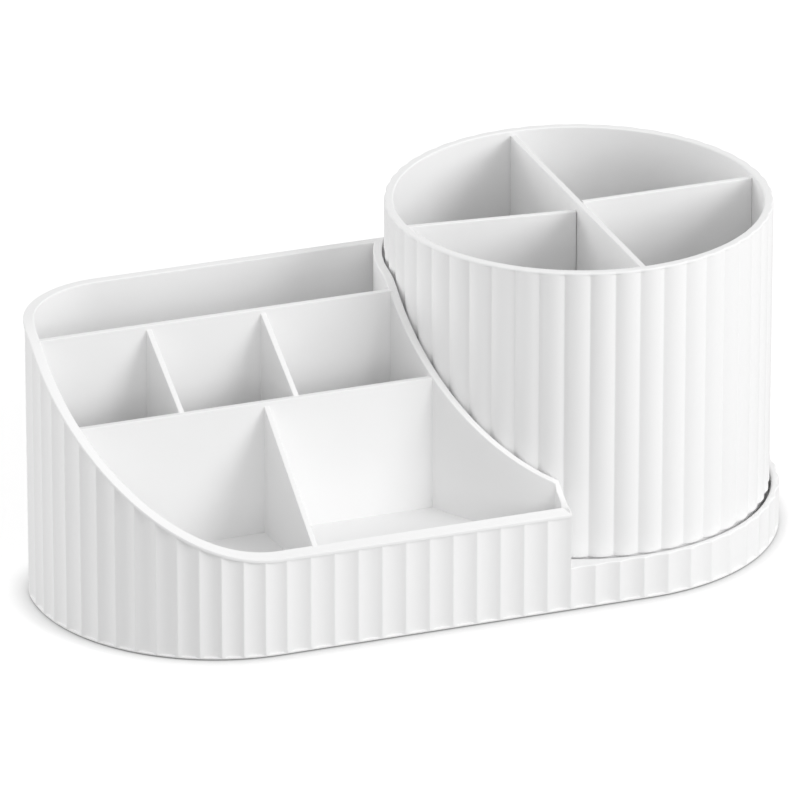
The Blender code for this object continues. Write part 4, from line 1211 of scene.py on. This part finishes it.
class ORGANIZER_OT_pivot(bpy.types.Operator):
    """Model the screw and the washer that hold the cup down"""
    bl_idname = "organizer.pivot"
    bl_label = "Pivot"

    def execute(self, context):
        kit = context.scene.organizer
        base, at = kit.base, Layout(kit)
        steel = material_of("bright_steel", kit.finish)
        low, hole = at.washer_low, 1.8 * MM
        washer = turned("hold_down_washer", chamfered(hole, base.washer_radius, low, low + base.washer))
        hand_over(washer, "cup", "steel", steel, "pivot_washer")
        face, head, run = at.pivot_low, at.pivot_head, 11.0 * MM
        profile = [(0, 0), (2.6 * MM, 0), (3.3 * MM, 0.25 * MM), (3.5 * MM, 0.7 * MM), (3.5 * MM, head),
                   (1.5 * MM, head), *thread(1.3 * MM, 0.2 * MM, 1.0 * MM, head + 1.2 * MM, run - 1.6 * MM),
                   (1.1 * MM, run - 0.6 * MM), (0, run)]
        screw = turned("hold_down_screw", [(radius, face + height) for radius, height in profile],
                       SMALL_SIDES)
        combine(screw, cross_recess(1.7 * MM, 0.8 * MM, face, True), 'DIFFERENCE')
        hand_over(screw, "cup", "steel", steel, "pivot_screw")
        return {'FINISHED'}


# The cup

class ORGANIZER_OT_cup(bpy.types.Operator):
    """Model the reeded cup with its floor, skirt and post"""
    bl_idname = "organizer.cup"
    bl_label = "Cup"

    def execute(self, context):
        kit = context.scene.organizer
        cup, at = kit.cup, Layout(kit)
        places = [reed + place for reed in range(cup.reeds) for place in FLUTE_shares]
        turns = [cup.reed_turn + 2 * math.pi * place / cup.reeds for place in places]
        valleys = [cup.reed_depth * (1 - swell(place % 1)) for place in places]

        def reed_row(inset, height, carved):
            return [((cup.radius - inset - carved * valley) * math.cos(turn),
                     (cup.radius - inset - carved * valley) * math.sin(turn), height)
                    for valley, turn in zip(valleys, turns)]

        soft, corner, bore = cup.rim_round, cup.corner_round, at.bore
        edge, shelf, pilot = 0.4 * MM, 0.3 * MM, 1.8 * MM
        pilot_top = at.pivot_low + 11.3 * MM
        top, skirt = at.cup_top, at.skirt
        inner = [(0, at.cup_floor), *rounding((bore - corner, at.cup_floor + corner), corner, 270, 360, 4),
                 *rounding((bore + soft, top - soft), soft, 180, 90, 4)]
        rim = [*rounding((soft, top - soft), soft, 90, 180, 4), (0, top - soft - cup.rim_band)]
        reeds_top = top - soft - cup.rim_band - shelf
        reeds_foot = at.ring_top - cup.skirt_dip
        reeds = [(0, reeds_top), *rounding((shelf, reeds_foot + shelf), shelf, 180, 225, 2)]
        hem = [(cup.skirt_inset, reeds_foot),
               *rounding((cup.skirt_inset + edge, skirt + edge), edge, 180, 270, 3)]
        under = [*rounding((bore + shelf, skirt + shelf), shelf, 270, 180, 2),
                 (bore, at.cup_under), (cup.post, at.cup_under),
                 *rounding((cup.post - edge, at.dish_low + edge), edge, 0, -90, 3),
                 (pilot, at.dish_low), (pilot, pilot_top), (0, pilot_top)]
        rows = [on_circle(radius, turns, height) for radius, height in inner]
        rows += [reed_row(inset, height, carved)
                 for carved, part in ((cup.rim_scallop, rim), (1, reeds), (0, hem)) for inset, height in part]
        rows += [on_circle(radius, turns, height) for radius, height in under]
        obj = skin("cup_moulding", rows, around=False)
        holes = [rod("pilot", RACE_HOLE, at.cup_under - OVERRUN, at.upper_face + 5.0 * MM, place)
                 for place in on_circle(at.screw_circle, even_turns(3, RACE_SCREW_TURN + math.pi / 3))]
        combine(obj, gather(holes), 'DIFFERENCE')
        hand_over(obj, "cup", "white_plastic", material_of("white_plastic", kit.finish), "cup_shell")
        return {'FINISHED'}


class ORGANIZER_OT_cup_plates(bpy.types.Operator):
    """Model the two plates that cross in the cup and slot into each other"""
    bl_idname = "organizer.cup_plates"
    bl_label = "Cup plates"

    def execute(self, context):
        kit = context.scene.organizer
        cup, fit, at = kit.cup, kit.base.fit, Layout(kit)
        touch, soft = 0.1 * MM, 0.3 * MM
        reach, low, high = at.bore - touch, at.cup_floor + fit, at.cup_top - cup.plate_drop
        middle, half = (low + high) / 2, cup.plate / 2
        slot = half + fit
        dipped = high - cup.plate_dip
        white = material_of("white_plastic", kit.finish)
        long_plate = [(-reach, low), (-slot, low), (-slot, middle + fit / 2), (slot, middle + fit / 2),
                      (slot, low), (reach, low), (reach, high), (-reach, high)]
        cross_plate = [(-reach, low), (reach, low), (reach, high), (slot, high), (slot, middle - fit / 2),
                       (-slot, middle - fit / 2), (-slot, dipped), (-reach, high)]

        def on_top(one, other):
            return min(one.z, other.z) > dipped - SEW and (one - other).length > 3 * half

        obj = plate("cup_plate_long", [(half, run, height) for run, height in long_plate], (-2 * half, 0, 0))
        ease_edges(obj, on_top, soft)
        hand_over(obj, "cup", "white_plastic", white, "cup_divider_long")
        obj = plate("cup_plate_cross", [(run, -half, height) for run, height in cross_plate],
                    (0, 2 * half, 0))
        ease_edges(obj, on_top, soft)
        hand_over(obj, "cup", "white_plastic", white, "cup_divider_cross")
        return {'FINISHED'}


# The stage

TARGET = AXIS + Vector((-63.5 * MM, 0, 53.4 * MM))


def seen_from(azimuth, elevation, distance):
    """A place round the target, by its azimuth from the front and its elevation."""
    return TARGET + distance * Vector((math.sin(azimuth) * math.cos(elevation),
                                       -math.cos(azimuth) * math.cos(elevation), math.sin(elevation)))


def lamp(name, azimuth, elevation, distance, size, part):
    """A soft square lamp that gives a part of the full light at the object."""
    place = seen_from(math.radians(azimuth), math.radians(elevation), distance)
    obj = add(name, bpy.ops.object.light_add, type='AREA', location=place,
              rotation=(TARGET - place).to_track_quat('-Z', 'Y').to_euler())
    obj.data.size = size
    obj.data.energy = part * (math.pi * distance)**2
    return obj


class ORGANIZER_OT_stage(bpy.types.Operator):
    """Set up the floor, the lamps, the backdrop and the camera"""
    bl_idname = "organizer.stage"
    bl_label = "Stage"

    def execute(self, context):
        stage = context.scene.organizer.stage
        floor = add("floor", bpy.ops.mesh.primitive_plane_add, size=12)
        material = bpy.data.materials.new("floor_white")
        graph = Graph(material)
        seen = graph.node('ShaderNodeLightPath', output="Is Camera Ray")
        # Painted contact shadow: ambient occlusion near the object darkens the floor's colour from pale to
        # grey, and the floor's glow to the camera carries that painted shade too
        near = graph.node('ShaderNodeAmbientOcclusion', {"samples": 24}, {"Distance": stage.contact}, "AO")
        near = graph.mix(near, (0.3, 0.3, 0.3, 1), (0.92, 0.92, 0.92, 1))
        shade = graph.mix(seen, (*[stage.bounce] * 3, 1), near)
        matt = graph.node('ShaderNodeBsdfDiffuse', None, {"Color": shade})
        glow = graph.node('ShaderNodeEmission', None, {"Color": near, "Strength": seen * 0.30})
        graph.node('ShaderNodeOutputMaterial', None,
                   {"Surface": graph.node('ShaderNodeAddShader', None, {0: matt, 1: glow})})
        floor.data.materials.append(material)

        world = bpy.data.worlds.new("studio")
        context.scene.world = world
        graph = Graph(world)
        seen = graph.node('ShaderNodeLightPath', output="Is Camera Ray")
        glossy = graph.node('ShaderNodeLightPath', output="Is Glossy Ray")
        through = graph.node('ShaderNodeLightPath', output="Is Transmission Ray")
        white = seen | glossy | through
        sky = graph.node('ShaderNodeBackground', None, {"Strength": white + (1 - white) * stage.sky})
        graph.node('ShaderNodeOutputWorld', None, {"Surface": sky})

        lamp("key_lamp", 43, 24, 2.4, 1.2, stage.key)
        lamp("fill_lamp", 0, 10, 2.4, 1.2, stage.fill)
        lamp("side_lamp", -116, 14, 2.4, 1.2, stage.side)

        place = seen_from(stage.azimuth, stage.elevation, stage.distance)
        camera = add("camera", bpy.ops.object.camera_add, location=place,
                     rotation=(TARGET - place).to_track_quat('-Z', 'Y').to_euler())
        camera.data.lens = stage.lens
        camera.data.sensor_width = 36
        context.scene.camera = camera
        context.scene.view_settings.view_transform = 'Standard'
        return {'FINISHED'}


OPERATORS = (ORGANIZER_OT_tray, ORGANIZER_OT_base_plate, ORGANIZER_OT_feet, ORGANIZER_OT_base_screws,
             ORGANIZER_OT_bearing, ORGANIZER_OT_pivot, ORGANIZER_OT_cup, ORGANIZER_OT_cup_plates,
             ORGANIZER_OT_stage)


class ORGANIZER_PT_sidebar(bpy.types.Panel):
    """Sizes, colours and the pieces in building order"""
    bl_label = "Make-up organizer"
    bl_idname = "ORGANIZER_PT_sidebar"
    bl_space_type = 'VIEW_3D'
    bl_region_type = 'UI'
    bl_category = "Organizer"

    def draw(self, context):
        kit = context.scene.organizer
        for group in (kit.tray, kit.ring, kit.cup, kit.base, kit.finish, kit.stage):
            box = self.layout.box()
            box.label(text=group.rna_type.description)
            for key in group.__annotations__:
                box.prop(group, key)
        for operator in OPERATORS:
            self.layout.operator(operator.bl_idname)


CLASSES = (CupSizes, TraySizes, RingSizes, BaseSizes, Finishes, StageSettings, Organizer,
           *OPERATORS, ORGANIZER_PT_sidebar)


def register():
    for each in CLASSES:
        bpy.utils.register_class(each)
    bpy.types.Scene.organizer = PointerProperty(type=Organizer)


def unregister():
    del bpy.types.Scene.organizer
    for each in reversed(CLASSES):
        bpy.utils.unregister_class(each)


def main():
    register()
    for operator in OPERATORS:
        group, name = operator.bl_idname.split(".")
        getattr(getattr(bpy.ops, group), name)()


if __name__ == "__main__":
    main()
